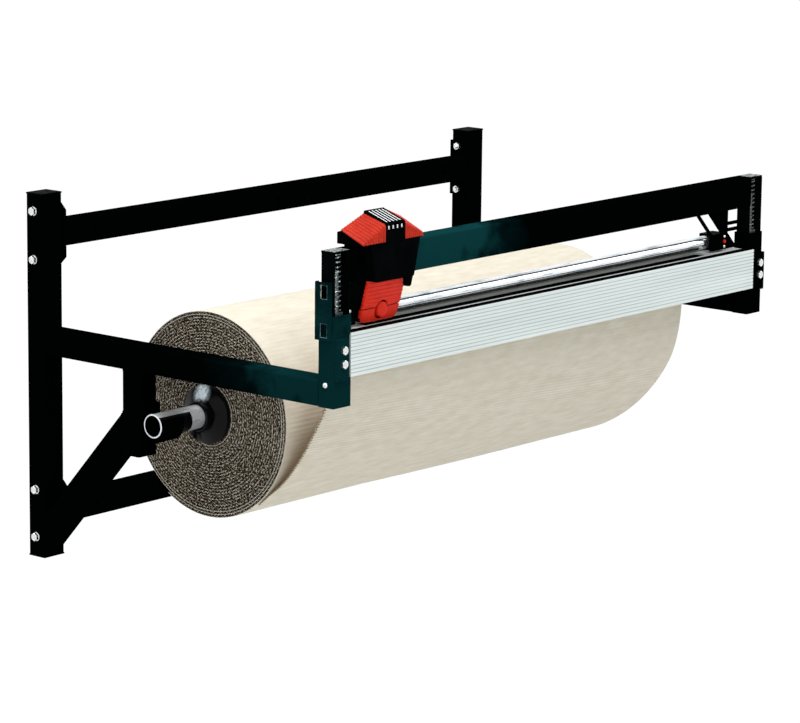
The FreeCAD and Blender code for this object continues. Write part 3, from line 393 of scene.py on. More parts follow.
for bar in ("top_crossbar", "bottom_crossbar"):
    bar_piece = place(bar + "_tube", straight_tube(bar, "x"), black_enamel, "wall_frame",
                      "frame_black", [bar])
    bar_low, bar_high = corners(bar)
    for hole_x in (-485, 0, 485):
        drilled(bar_piece, (hole_x, bar_low[1] - 5, (bar_low[2] + bar_high[2]) / 2), (0, 1, 0),
                radius=4.5, depth=60)

tube_x = 590.0
brace_foot_y, brace_foot_z = -40.0, -283.5
brace_head_y, brace_head_z = -234.0, -68.0
brace_rise = math.atan2(brace_head_z - brace_foot_z, brace_foot_y - brace_head_y)
for side, sign in (("left", -1), ("right", 1)):
    brace_part = square_tube((sign * tube_x, brace_foot_y, brace_foot_z),
                             (sign * tube_x, brace_head_y, brace_head_z),
                             (1, 0, 0), (0, 0, 1 / math.cos(brace_rise)), width=45, height=45)
    place(side + "_brace_tube", brace_part, black_enamel, "wall_frame", "frame_black",
          [side + "_brace"])


# Tube caps and end plates.
# The uprights end in pushed-in plastic caps, and the crossbars in welded plates with cut
# corners. Their edges are only broken, so each keeps its shape and gets a small round.
def softened(node, width, finish, segments=2, smooth=35):
    """Keeps a CAD node's shape, rounds its edges a little and gives it a finish."""
    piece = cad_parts[node]
    weld = piece.modifiers.new("weld", "WELD")
    weld.merge_threshold = 0.00001
    flat = piece.modifiers.new("flat", "DECIMATE")
    flat.decimate_type = "DISSOLVE"
    flat.angle_limit = math.radians(2)
    edge = piece.modifiers.new("edge", "BEVEL")
    edge.width = width * 0.001
    edge.segments = segments
    edge.limit_method = "ANGLE"
    edge.angle_limit = math.radians(smooth)
    piece.data.materials.clear()
    piece.data.materials.append(finish)
    return piece


black_plastic = new_finish("black_plastic", gloss=0.002)
shaded(black_plastic, grain(black_plastic, 0.03, 4.0),
       [(0.3, (0.0007, 0.0010, 0.0011)), (0.75, (0.0018, 0.0028, 0.0030))])
roughened(black_plastic, grain(black_plastic, 0.008, 3.0), 0.4, 0.6)
embossed(black_plastic, grain(black_plastic, 0.0011, 2.0), 0.00003)

softened("upright_caps", 1.2, black_plastic)
softened("bar_end_plates", 0.6, black_enamel)


# Bolts, washers and nuts.
# Zinc-plated M8 hexagon bolts with a washer, through the upright and the end plate into a nut.
# The plating is bright, with a faint cloudy bloom.
zinc = new_finish("zinc_plate", metallic=1.0)
shaded(zinc, grain(zinc, 0.004, 4.0),
       [(0.3, (0.60, 0.62, 0.62)), (0.7, (0.88, 0.90, 0.89))])
roughened(zinc, grain(zinc, 0.002, 3.0), 0.2, 0.38)
embossed(zinc, grain(zinc, 0.0012, 2.0), 0.00002)


def stood_up(local_rings, start, direction):
    """Rings drawn round an upright axis, laid along a direction from a start point."""
    turned_round = Vector(direction).to_track_quat("Z", "Y").to_matrix()
    return [[Vector(start) + turned_round @ Vector(point) for point in ring]
            for ring in local_rings]


def turned(profile, start, direction, steps=48, bored=False):
    """A turned part: profile is (along, radius) points, closed on itself if bored."""
    rings = [[(radius * math.cos(math.tau * i / steps), radius * math.sin(math.tau * i / steps),
               along) for i in range(steps)] for along, radius in profile]
    return loft(stood_up(rings, start, direction), capped=not bored, looped=bored)


def hexagon_head(flats, height, start, direction, bore=0.0, both_ends=False):
    """A hexagon head or nut whose corners are turned off in a shallow cone."""
    steps = 48
    reach = [flats / 2 / math.cos((math.tau * i / steps + math.pi / 6) % (math.pi / 3)
                                  - math.pi / 6) for i in range(steps)]
    turned_radius = flats / 2 * 0.95
    chamfer = 0.6

    def ring(radii, heights):
        return [(r * math.cos(math.tau * i / steps), r * math.sin(math.tau * i / steps), z)
                for i, (r, z) in enumerate(zip(radii, heights))]

    slope = math.tan(math.radians(30))
    tops = [height - (r - turned_radius) * slope for r in reach]
    foots = [(r - turned_radius) * slope if both_ends else 0.0 for r in reach]
    low_radius = turned_radius if both_ends else flats / 2
    rings = [ring([low_radius * 0.98] * steps, [0.0] * steps)] if both_ends else []
    rings += [ring(reach, foots), ring(reach, tops),
              ring([turned_radius] * steps, [height] * steps)]
    if bore:
        rings += [ring([bore + chamfer] * steps, [height] * steps),
                  ring([bore] * steps, [height - chamfer] * steps),
                  ring([bore] * steps, [chamfer] * steps),
                  ring([bore + chamfer] * steps, [0.0] * steps)]
        return loft(stood_up(rings, start, direction), capped=False, looped=True)
    rings.append(ring([turned_radius * 0.8] * steps, [height] * steps))
    rings.append(ring([turned_radius * 0.74] * steps, [height - 0.25] * steps))
    return loft(stood_up(rings, start, direction))


def threaded(radius, length, start, direction):
    """A screw's shank with shallow turned threads and a chamfered tip."""
    pitch = 1.25
    profile = [(0, radius * 0.9)]
    for turn in range(int((length - 1.2) / pitch)):
        profile += [(turn * pitch + 0.2, radius), (turn * pitch + 0.5, radius),
                    (turn * pitch + 0.85, radius * 0.88), (turn * pitch + 1.1, radius * 0.88)]
    profile += [(length - 0.9, radius * 0.95), (length, radius * 0.75)]
    return turned(profile, start, direction, steps=24)


spanner_size = 13
bolt_head_height = 5.3
bolt_y = -20
upright_outside = -612.5
plate_inside = -557.5
washer_profile = [(0.0, 4.5), (0.0, 7.6), (0.4, 8.0), (1.2, 8.0), (1.6, 7.6), (1.6, 4.5)]
washer_top = upright_outside - washer_profile[-1][0]
bolt_parts, washer_parts, nut_parts = [], [], []
for bolt_z in (293, 207, -207, -293):
    bolt_parts.append(hexagon_head(spanner_size, bolt_head_height, (washer_top, bolt_y, bolt_z),
                                   (-1, 0, 0)))
    bolt_parts.append(threaded(4, 66.1, (washer_top, bolt_y, bolt_z), (1, 0, 0)))
    washer_parts.append(turned(washer_profile, (upright_outside, bolt_y, bolt_z), (-1, 0, 0),
                               bored=True))
    nut_parts.append(hexagon_head(spanner_size, 6.5, (plate_inside, bolt_y, bolt_z), (1, 0, 0),
                                  bore=3.9, both_ends=True))
for piece_name, parts, node in (("hexagon_bolts", bolt_parts, "frame_bolts"),
                                ("plain_washers", washer_parts, "frame_washers"),
                                ("hexagon_nuts", nut_parts, "frame_nuts")):
    both_sides = joined(*parts, *[mirrored(part) for part in parts])
    place(piece_name, both_sides, zinc, "wall_frame", "zinc_steel", [node], smooth=30)


# Weld beads.
# The arms, hangers, braces, plates and cradles are joined by short-arc welds, left as laid and
# painted over, so each joint has a low rippled bead.
def strung(path, radii, steps=10):
    """A round rod along a path of points, with a radius for each point."""
    path = [Vector(point) for point in path]
    tangents = [(path[min(i + 1, len(path) - 1)] - path[max(i - 1, 0)]).normalized()
                for i in range(len(path))]
    side = tangents[0].orthogonal().normalized()
    rings = []
    for point, tangent, radius in zip(path, tangents, radii):
        side = (side - tangent * side.dot(tangent)).normalized()
        other = tangent.cross(side)
        rings.append([point + (side * math.cos(math.tau * i / steps)
                               + other * math.sin(math.tau * i / steps)) * radius
                      for i in range(steps)])
    return loft(rings)


bead_chance = random.Random(4)


def bead(start, end, size=2.2):
    """A weld bead between two points: overlapping ripples, a little uneven."""
    start, end = Vector(start), Vector(end)
    count = max(4, int((end - start).length / 0.8))
    path, radii = [], []
    for step in range(count + 1):
        share = step / count
        wander = Vector([bead_chance.uniform(-0.12, 0.12) for _ in range(3)])
        path.append(start.lerp(end, share) + wander)
        ripple = 0.5 + 0.5 * math.cos(step * math.tau / 4)
        fade = min(1.0, 0.45 + 0.35 * min(step, count - step))
        radii.append(size * fade * (0.78 + 0.22 * ripple + bead_chance.uniform(-0.05, 0.05)))
    return strung(path, radii, steps=8)


outside, inside = -612.0, -567.8
tube_outside, tube_inside = -611.0, -569.0
arm_rear, arm_front, arm_top = -40.6, -684.8, 84.8
hanger_front, hanger_rear = -275.2, -234.2
bead_parts = [bead((-610, arm_rear, 85), (-570, arm_rear, 85)),
              bead((-610, arm_rear, 40), (-570, arm_rear, 40)),
              bead((-568, arm_rear, 42), (-568, arm_rear, 83))]
for y in (-234, -275):
    bead_parts.append(bead((-610, y, 39.6), (-570, y, 39.6)))
for x in (inside, outside):
    bead_parts.append(bead((x, -273, 39.6), (x, -236, 39.6)))
for y, z in ((-40.8, -249.6), (-40.8, -317.2), (hanger_rear, -34.2), (hanger_rear, -101.6)):
    bead_parts.append(bead((tube_outside, y, z), (tube_inside, y, z)))
for x in (inside, outside):
    bead_parts.append(bead((x, -234.4, -99), (x, -234.4, -36)))
bead_parts += [bead((tube_outside, hanger_front, -17), (tube_inside, hanger_front, -17), 1.8),
               bead((inside, hanger_front, -44), (inside, hanger_front, -19), 1.8),
               bead((-610, arm_front, arm_top), (-570, arm_front, arm_top), 2.0),
               bead((-567.9, -685, 42), (-567.9, -685, 83), 1.8),
               bead((outside, -685, 42), (outside, -685, 83), 1.2)]
plate_x, bar_half = -557.2, 22.5
for bar_z in (250, -250):
    for z in (bar_z + bar_half, bar_z - bar_half):
        bead_parts.append(bead((plate_x, -43, z), (plate_x, -2, z), 1.8))
    bead_parts.append(bead((plate_x, -45, bar_z - 20), (plate_x, -45, bar_z + 20), 1.8))
place("frame_welds", joined(*bead_parts, *[mirrored(part) for part in bead_parts]), black_enamel,
      "wall_frame", "frame_black", smooth=60)


# Cradles.
# Eight-millimetre flat bar bent into an open U, welded to each hanger and sprayed with the
# frame. The shaft rests in the bend.
softened("roll_cradles", 0.9, black_enamel, segments=3, smooth=40)


# Roll shaft and its collars.
# A chromed steel tube that lies in the cradles. A black sleeve is shrunk on each end, but a strip
# along its top stays chrome as a painted highlight. A black ring is clamped on each side of the roll.
chrome = new_finish("chrome", metallic=0.65)
shaded(chrome, grain(chrome, 0.015, 4.0, (0.25, 1, 1)),
       [(0.3, (0.62, 0.66, 0.70)), (0.6, (0.88, 0.91, 0.94))])
roughened(chrome, grain(chrome, 0.006, 4.0, (0.15, 1, 1)), 0.24, 0.38)
shaft_y, shaft_z = -308.0, -49.5


def ring_part(x0, x1, outer, inner, y, z, edge):
    """A bored ring along x with broken outer edges."""
    run = x1 - x0
    return turned([(0, inner), (0, outer - edge), (edge, outer), (run - edge, outer),
                   (run, outer - edge), (run, inner)], (x0, y, z), (1, 0, 0), 64, bored=True)


shaft_length = 1225.0
sleeve_length = 77.5
sleeve_radius, bright_radius, shaft_bore = 21.2, 20.9, 18.6
left_profile = [(0, shaft_bore), (0, sleeve_radius - 0.6), (0.6, sleeve_radius),
                (sleeve_length - 0.5, sleeve_radius), (sleeve_length, bright_radius),
                (sleeve_length + 0.5, bright_radius)]
right_profile = [(shaft_length - along, radius) for along, radius in reversed(left_profile)]
shaft_part = turned(left_profile + right_profile, (-shaft_length / 2, shaft_y, shaft_z),
                    (1, 0, 0), 72, bored=True)
shaft_piece = place("chromed_shaft", shaft_part, chrome, "roll_axle", "chromed_tube",
                    ["roll_shaft"])
gloss_black = new_finish("moulded_black", gloss=0.1)
shaded(gloss_black, grain(gloss_black, 0.02, 4.0),
       [(0.3, (0.0008, 0.0009, 0.0010)), (0.75, (0.0025, 0.0030, 0.0034))])
roughened(gloss_black, grain(gloss_black, 0.006, 3.0), 0.12, 0.24)
shaft_piece.data.materials.append(gloss_black)
shaft_piece.data.materials.append(black_plastic)
sleeve_start = shaft_length / 2 - sleeve_length
# Sleeve faces that face up and not away from the camera keep the chrome: a painted highlight.
for face in shaft_piece.data.polygons:
    middle = face.center * 1000
    outward = math.hypot(middle.y - shaft_y, middle.z - shaft_z) > bright_radius - 0.4
    top_highlight = face.normal.z > 0.78 and face.normal.y < 0.1
    end_ring = abs(face.normal.x) > 0.5
    if abs(middle.x) > sleeve_start and outward and not end_ring and not top_highlight:
        face.material_index = 1
    # The bore's inside is painted near-black: painted shade inside the tube.
    if not outward and not end_ring:
        face.material_index = 2

dark_steel = new_finish("dark_steel_and_painted_shade", metallic=0.9)
shaded(dark_steel, grain(dark_steel, 0.006, 4.0),
       [(0.3, (0.05, 0.055, 0.055)), (0.7, (0.16, 0.17, 0.17))])
roughened(dark_steel, grain(dark_steel, 0.003, 3.0), 0.25, 0.5)
collar_radius, collar_bore, collar_width = 26, 21.25, 13
collar_parts = [ring_part(x, x + collar_width, collar_radius, collar_bore, shaft_y, shaft_z, 1.0)
                for x in (-504, 546)]
place("clamp_collars", joined(*collar_parts), gloss_black, "roll_axle", "bare_steel",
      ["shaft_collars"])
socket_parts = []
for screw_x in (-497.5, 552.5):
    socket_parts.append(turned([(-4.2, 2.9), (0, 2.9), (0, 4.2), (0.3, 4.5), (2.5, 4.5),
                                (3, 4.0), (3, 2.3), (1.2, 2.3)],
                               (screw_x, shaft_y, shaft_z + collar_radius), (0, 0, 1), 24))
place("collar_socket_screws", joined(*socket_parts), dark_steel, "roll_axle", "zinc_steel",
      ["collar_screws"])


# Roll of board.
# Single-faced corrugated board, a cream liner glued to a brown fluted web, wound liner outward
# on a card tube. The ends show the edge of every turn; the faces between are painted near-black, as
# painted shade in the flutes.
board_cream = new_finish("board_liner", 0.85, gloss=0.15)
shaded(board_cream, grain(board_cream, 0.012, 6.0, (0.3, 1, 1)),
       [(0.3, (0.81, 0.74, 0.60)), (0.7, (0.91, 0.85, 0.715))])
embossed(board_cream, grain(board_cream, 0.0016, 4.0, (0.3, 1, 1)), 0.00008)
# The wound board's hidden faces, seen only between the cut edges, are painted near-black: painted
# shade.
board_painted_shade = new_finish("board_painted_shade", 0.95, gloss=0.02)
shaded(board_painted_shade, grain(board_painted_shade, 0.02, 4.0),
       [(0.3, (0.012, 0.008, 0.004)), (0.7, (0.035, 0.024, 0.014))])
board_edge = new_finish("board_cut_edge", 0.95, gloss=0.05)
shaded(board_edge, grain(board_edge, 0.0040, 1.0),
       [(0.34, (0.030, 0.021, 0.012)), (0.46, (0.26, 0.20, 0.13)),
        (0.56, (0.88, 0.78, 0.62)), (0.66, (1.0, 0.94, 0.83))])
embossed(board_edge, grain(board_edge, 0.0012, 3.0), 0.0001)
board_brown = new_finish("board_flute_face", 0.9, gloss=0.1)
shaded(board_brown, grain(board_brown, 0.008, 5.0, (0.3, 1, 1)),
       [(0.3, (0.34, 0.25, 0.15)), (0.7, (0.50, 0.38, 0.25))])
embossed(board_brown, grain(board_brown, 0.0014, 3.0), 0.00008)

roll_radius = 185.0
core_radius = 43.0
core_gap = 0.6
layer = 5.3
flute_pitch = 8.2
liner_thick = 1.0
flute_thick = 0.7
play = 0.12
skin_ripple = 0.32
tidy_outer_turns = 2.6
tidy_inner_radius = 58.5
roll_left, roll_right = -472.5, 527.5
take_off = math.radians(32)


def wound_board():
    """The spiral as four lines, each a pair of radii per quarter flute, pushed along the roll."""
    angles, radii = [], []
    angle = 0.0
    radius = roll_radius
    while radius - layer > core_radius + core_gap:
        angles.append(angle)
        radii.append(radius)
        angle += flute_pitch / 4 / radius
        radius = roll_radius - layer * angle / math.tau
    angles, radii = np.array(angles), np.array(radii)
    wave = 0.5 + 0.5 * np.cos(np.arange(len(angles)) * math.pi / 2)
    crest = radii - liner_thick + 0.1
    trough = radii - layer + flute_thick + 0.15
    fluted = trough + (crest - trough) * wave
    skin = radii - play - skin_ripple * (1 - wave)
    lines = [skin, skin - liner_thick + play, fluted, fluted - flute_thick]
    turn = -(take_off - angles)
    points, faces, finishes = [], [], []
    count = len(angles)
    for line in lines:
        for x in (roll_left, roll_right):
            points.append(np.stack([np.full(count, x), shaft_y - line * np.sin(turn),
                                    shaft_z - line * np.cos(turn)], axis=1))
    points = np.concatenate(points)

    def rows(line, end):
        return (line * 2 + end) * count

    step = np.arange(count - 1)
    outermost = np.where(angles[:-1] < math.tau + 0.05, 0, 1)
    whole_liner = ((angles[:-1] < tidy_outer_turns * math.tau)
                   | (radii[:-1] < tidy_inner_radius))
    for outer, inner in ((0, 1), (2, 3)):
        for line, flip in ((outer, False), (inner, True)):
            a, b = rows(line, 0) + step, rows(line, 1) + step
            faces.append(np.stack([a, b, b + 1, a + 1] if flip else [a, a + 1, b + 1, b], axis=1))
            finishes.append(outermost if line == 0 else np.ones(count - 1, int))
        for end in (0, 1):
            a, b = rows(outer, end) + step, rows(inner, end) + step
            faces.append(np.stack([a, b, b + 1, a + 1] if end else [a, a + 1, b + 1, b], axis=1))
            finishes.append(np.where(whole_liner & (outer == 0), 0, 2))
        for last in (0, count - 1):
            faces.append(np.array([[rows(outer, 0) + last, rows(outer, 1) + last,
                                    rows(inner, 1) + last, rows(inner, 0) + last]]))
            finishes.append(np.array([0]))
    skin_faces = [tuple(face) for face in np.concatenate(faces).tolist()]
    return (points.tolist(), skin_faces), np.concatenate(finishes).tolist()


roll_part, roll_finishes = wound_board()
wound_roll = place("wound_board", roll_part, board_cream, "board_on_core", "board_face",
                   ["board_roll"], smooth=60)
wound_roll.data.materials.append(board_painted_shade)
wound_roll.data.materials.append(board_edge)
wound_roll.data.polygons.foreach_set("material_index", roll_finishes)


# Core and its plugs.
# A thick card tube, and in each end a black moulded plug with a flange, a cone and a bore that
# turns on the shaft. A highlight is painted on top of the left plug's cone.
card = new_finish("core_card", 0.85, gloss=0.2)
shaded(card, grain(card, 0.01, 5.0), [(0.3, (0.25, 0.18, 0.11)), (0.7, (0.42, 0.32, 0.21))])
embossed(card, grain(card, 0.002, 3.0), 0.00008)
core_bore = 38
place("card_core", ring_part(roll_left, roll_right, core_radius, core_bore, shaft_y, shaft_z,
                             0.4), card, "board_on_core", "core_board", ["roll_core"])

plug_profile = [(-45, 21.3), (-45, 37.2), (-43.5, 37.85), (-0.2, 37.85), (0, 52.0), (0.5, 52.5),
                (8.2, 52.5), (9.0, 51.4), (9.6, 50.2), (11.0, 47.4), (16.6, 33.8), (17.5, 31.8),
                (18, 30.4), (18, 23.5), (17.0, 22.0), (16.0, 21.3)]
plug_parts = [turned(plug_profile, (roll_left, shaft_y, shaft_z), (-1, 0, 0), 72, bored=True),
              turned(plug_profile, (roll_right, shaft_y, shaft_z), (1, 0, 0), 72, bored=True)]
# The pale stops, faded round a point on the left plug's cone, are a painted highlight.
plug_black = new_finish("black_painted_highlight", gloss=0.1)
shaded(plug_black, around(plug_black, grain(plug_black, 0.006, 3.0),
                          centre=(-0.486, -0.304, -0.0115), reach=0.026),
       [(0.08, (0.0012, 0.0014, 0.0016)), (0.18, (0.16, 0.20, 0.22)),
        (0.32, (0.72, 0.82, 0.86))])
roughened(plug_black, grain(plug_black, 0.006, 3.0), 0.12, 0.24)
place("moulded_plugs", joined(*plug_parts), plug_black, "board_on_core", "cap_black",
      ["core_plugs"], smooth=25)


# Board leaving the roll.
# The loose length runs from under the roll, sweeps up to the rear of the rail, turns over it and
# ends where it was last cut. It hangs a little askew, further forward at its right edge.
left_line = [(-451.5, -174.4), (-477.3, -153.7), (-502.2, -127.2), (-527.3, -93.5),
             (-551.2, -54.7), (-572.5, -15.5), (-588.5, 25), (-597, 70), (-598.9, 112)]
right_line = [(-405, -214.5), (-456, -187.5), (-504.6, -149.7), (-546, -103.7), (-574.6, -57.5),
              (-589.5, -14), (-596.5, 30), (-598.8, 75), (-599, 112)]
bend_y, bend_z, bend_radius = -650, 114.25, 51
over_rail = [(bend_y + bend_radius * math.cos(math.radians(a)),
              bend_z + bend_radius * math.sin(math.radians(a)))
             for a in (4, 16, 30, 45, 60, 75, 90)]
last_cut = [(-656, 166.3), (-663, 166.3)]
left_leave, right_leave = 39, 14
web_columns = 28
web_face = roll_radius + 3.0
web_flute_count = 78
pressed_thick = 2.2
full_thick = 4.1
face_ripple = 0.45
tear_depth = 4.5


def smooth_line(points, count):
    """count points spaced evenly along a smooth curve through the given ones."""
    points = np.array([2 * np.array(points[0]) - np.array(points[1]), *points,
                       2 * np.array(points[-1]) - np.array(points[-2])])
    dense = []
    for p0, p1, p2, p3 in zip(points, points[1:], points[2:], points[3:]):
        for t in np.linspace(0, 1, 24, endpoint=False):
            dense.append(0.5 * (2 * p1 + (p2 - p0) * t + (2 * p0 - 5 * p1 + 4 * p2 - p3) * t ** 2
                                + (3 * p1 - p0 - 3 * p2 + p3) * t ** 3))
    dense.append(points[-2])
    dense = np.array(dense)
    run = np.concatenate([[0], np.cumsum(np.linalg.norm(np.diff(dense, axis=0), axis=1))])
    even = np.linspace(0, run[-1], count)
    return np.stack([np.interp(even, run, dense[:, 0]), np.interp(even, run, dense[:, 1])], axis=1)


def web_part():
    """The liner and the fluted layer behind it as two thin closed skins."""
    samples = 6
    count = web_flute_count * samples + 1
    lines = [[], [], [], []]
    for column in range(web_columns + 1):
        share = column / web_columns
        leave = math.radians(left_leave + (right_leave - left_leave) * share)
        start = (shaft_y - web_face * math.sin(leave), shaft_z - web_face * math.cos(leave))
        through = [tuple(a + (b - a) * share for a, b in zip(p, q))
                   for p, q in zip(left_line, right_line)]
        path = smooth_line([start, *through, *over_rail, *last_cut], count)
        away = path - np.array([shaft_y, shaft_z])
        reach = np.linalg.norm(away, axis=1)
        near = reach < web_face
        path[near] = np.array([shaft_y, shaft_z]) + away[near] * (web_face / reach[near])[:, None]
        ahead_of = np.gradient(path, axis=0)
        ahead_of /= np.linalg.norm(ahead_of, axis=1)[:, None]
        inward = np.stack([ahead_of[:, 1], -ahead_of[:, 0]], axis=1)
        inward *= np.sign(inward @ np.array([0.8, -0.2]))[:, None]
        along = np.arange(count) / (count - 1)
        unpressed = np.clip((0.82 - along) / 0.25, 0, 1) * np.clip(along / 0.12, 0, 1)
        thick = pressed_thick + (full_thick - pressed_thick) * unpressed
        wave = 0.5 - 0.5 * np.cos(np.arange(count) * math.tau / samples)
        torn = tear_depth * (np.arange(count) // 3 % 2) if column == 0 else np.zeros(count)
        x = roll_left + (roll_right - roll_left) * share + torn
        face = face_ripple * wave
        fluted = 0.4 + (thick - 0.8) * wave
        for line, offset in zip(lines, (face, face + 0.42, fluted, fluted + 0.35)):
            moved = path + inward * np.reshape(offset, (-1, 1))
            line.append(list(zip(x, moved[:, 0], moved[:, 1])))
    parts = []
    for front, back in ((0, 1), (2, 3)):
        rings = [lines[front][column] + lines[back][column][::-1]
                 for column in range(web_columns + 1)]
        parts.append(loft(rings, capped=False))
        points, faces = parts[-1]
        size = 2 * count
        for base in (0, web_columns * size):
            faces += [(base + i, base + i + 1, base + size - 2 - i, base + size - 1 - i)
                      for i in range(count - 1)]
    return parts


web_liner, web_flutes = web_part()
web_piece = place("loose_board", joined(web_liner, web_flutes), board_cream, "wall_frame",
                  "board_face", ["board_web"], smooth=60)
web_piece.data.materials.append(board_brown)
web_piece.data.materials.append(board_edge)
liner_faces = len(web_liner[1])
for index, face in enumerate(web_piece.data.polygons):
    if abs(face.normal.x) > 0.9:
        face.material_index = 2
    elif index >= liner_faces:
        face.material_index = 1


# Post sleeves' insides: seat blocks, their screws and the springs.
# A steel block stands in each sleeve's foot, held by a button screw. A compression spring stands
# on its bar and lifts the bridge: the left one's wire is bright, the right one is dark as painted
# shade.
wire = new_finish("spring_wire", metallic=1.0)
shaded(wire, grain(wire, 0.004, 3.0),
       [(0.40, (0.03, 0.05, 0.05)), (0.55, (0.20, 0.26, 0.26)), (0.68, (0.75, 0.80, 0.80))])
roughened(wire, grain(wire, 0.002, 2.0), 0.16, 0.34)
softened("spring_seats", 0.5, dark_steel)
post_y = -702.5
screw_parts = [turned([(-14, 2.9), (0, 2.9), (0, 5.0), (0.8, 5.0), (2.2, 4.2), (3.0, 2.8),
                       (3.0, 1.8), (1.4, 1.8)], (upright_outside, post_y, 78), (-1, 0, 0), 24)]
place("button_screws", joined(*screw_parts, *[mirrored(part) for part in screw_parts]), zinc,
      "wall_frame", "zinc_steel", ["seat_screws"])


spring_seat_z = 198.0
spring_length = 99.0
wire_radius = 1.5
coil_radius = 8.8
closed_rise = 3.2


def coil_spring(centre_x):
    """A compression spring whose end turns lie closed on their neighbours."""
    turns = 13
    steps = 20
    active_rise = spring_length - 2 * wire_radius - 2 * closed_rise
    path = []
    for step in range(turns * steps + 1):
        turn = step / steps
        active = (turn - 1) / (turns - 2)
        z = spring_seat_z + wire_radius + closed_rise * min(turn, 1.0)
        z += active_rise * min(max(active, 0), 1) + closed_rise * max(turn - (turns - 1), 0)
        angle = math.tau * turn
        path.append((centre_x + coil_radius * math.cos(angle),
                     post_y + coil_radius * math.sin(angle), z))
    return strung(path, [wire_radius] * len(path), steps=8)


springs = place("coil_springs", joined(coil_spring(-tube_x), coil_spring(tube_x)), wire, "wall_frame",
                "bare_steel", ["post_springs"])
# The right spring takes the dark steel as painted shade; the left keeps the bright wire.
springs.data.materials.append(dark_steel)
for face in springs.data.polygons:
    if face.center.x > 0:
        face.material_index = 1
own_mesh(springs)


# Window bracket.
# A folded sheet channel with two windows, welded on the left sleeve. Thin pale rims round its
# windows are painted highlights on the cut edges.
softened("window_bracket", 0.35, black_enamel)
# A pale teal-grey for the window rims: a painted highlight.
painted_edge_highlight = new_finish("painted_edge_highlight", gloss=0.1)
shaded(painted_edge_highlight, grain(painted_edge_highlight, 0.008, 4.0),
       [(0.35, (0.01, 0.03, 0.03)), (0.6, (0.22, 0.34, 0.34))])
bracket_face = -620
window_front, window_rear = -711.5, -697
rim_radius = 0.5
rim_parts = []
for window_foot, window_top in ((159, 182), (223, 246)):
    rim = [(bracket_face, y, z) for y, z in (
        (window_front, window_foot), (window_rear, window_foot), (window_rear, window_top),
        (window_front, window_top), (window_front, window_foot))]
    for rim_start, rim_end in zip(rim, rim[1:]):
        rim_parts.append(strung([rim_start, rim_end], [rim_radius, rim_radius], steps=8))
place("window_rims", joined(*rim_parts), painted_edge_highlight, "wall_frame", "frame_black")


# Cutting rail.
# An aluminium extrusion, anodised pale, with fine ribs along its front, a black strip let into
# its front edge and a black mat in the groove that the blade runs over.
anodised = new_finish("anodised_rail", metallic=0.45)
shaded(anodised, grain(anodised, 0.03, 5.0, (0.05, 1, 1)),
       [(0.3, (0.74, 0.81, 0.79)), (0.7, (0.86, 0.93, 0.91))])
roughened(anodised, grain(anodised, 0.002, 3.0, (0.03, 1, 1)), 0.3, 0.46)
embossed(anodised, grain(anodised, 0.0009, 2.0, (0.02, 1, 1)), 0.00002)
black_rubber = new_finish("black_rubber", gloss=0.0)
shaded(black_rubber, grain(black_rubber, 0.015, 4.0, (0.2, 1, 1)),
       [(0.3, (0.0015, 0.0014, 0.0013)), (0.75, (0.006, 0.0055, 0.005))])
roughened(black_rubber, grain(black_rubber, 0.004, 3.0), 0.6, 0.8)
embossed(black_rubber, grain(black_rubber, 0.0012, 2.0), 0.00005)
rail_piece = softened("cutting_rail", 0.22, anodised)
groove_shade = new_finish("groove_shade", 0.6, metallic=0.2)
shaded(groove_shade, grain(groove_shade, 0.03, 4.0, (0.05, 1, 1)),
       [(0.3, (0.44, 0.51, 0.50)), (0.7, (0.62, 0.69, 0.67))])
rail_piece.data.materials.append(groove_shade)
# The upper faces behind the fascia are painted lighter than the rest of the rail: painted light.
rail_top_painted_light = new_finish("rail_top_painted_light", 0.6, gloss=0.3)
shaded(rail_top_painted_light, grain(rail_top_painted_light, 0.02, 4.0, (0.1, 1, 1)),
       [(0.3, (0.80, 0.84, 0.81)), (0.7, (0.93, 0.96, 0.93))])
rail_piece.data.materials.append(rail_top_painted_light)
rib_floor_y = -725.2
rail_top_z = 164
fascia_rear_y = -710
for face in rail_piece.data.polygons:
    middle = face.center * 1000
    if face.normal.y < -0.9 and abs(middle.y - rib_floor_y) < 0.2:
        face.material_index = 1
    if face.normal.z > 0.9 and abs(middle.z - rail_top_z) < 0.2 and middle.y > fascia_rear_y:
        face.material_index = 2
softened("edge_strip", 0.5, black_rubber)
softened("cutting_mat", 0.5, black_rubber)
softened("rail_plates", 0.8, black_enamel)
plate_bolt_x, plate_face_y = -594.9, -726
plate_bolt_parts = []
for bolt_z in (137, 114):
    seat = (plate_bolt_x, plate_face_y, bolt_z)
    plate_bolt_parts.append(hexagon_head(spanner_size, bolt_head_height, seat, (0, -1, 0)))
    plate_bolt_parts.append(threaded(3.9, 24, seat, (0, 1, 0)))
place("rail_bolts", joined(*plate_bolt_parts, *[mirrored(part) for part in plate_bolt_parts]),
      zinc, "wall_frame", "zinc_steel", ["rail_plate_bolts"], smooth=30)


# Bridge.
# Two channels slide up and down in the sleeves and carry a tube across the front. Gussets hang
# from it and hold the chromed guide tube in split blocks.
def channel_post(sign):
    """A rolled channel, open to the front."""
    outer = [(-19.5, -717), (-19.5, -690.5), (-18.8, -688.7), (-17, -688), (17, -688),
             (18.8, -688.7), (19.5, -690.5), (19.5, -717)]
    inner = [(17, -717), (17, -691.2), (16.3, -690.5), (-16.3, -690.5), (-17, -691.2),
             (-17, -717)]
    outline = outer + inner
    rings = [[(sign * tube_x + x, y, z) for x, y in outline] for z in (154, 297)]
    return loft(rings)


for side, sign in (("left", -1), ("right", 1)):
    place(side + "_channel", channel_post(sign), black_plastic, "bridge", "frame_black",
          [side + "_upper_post"], smooth=30)
post_caps = softened("post_caps", 0.8, black_plastic)
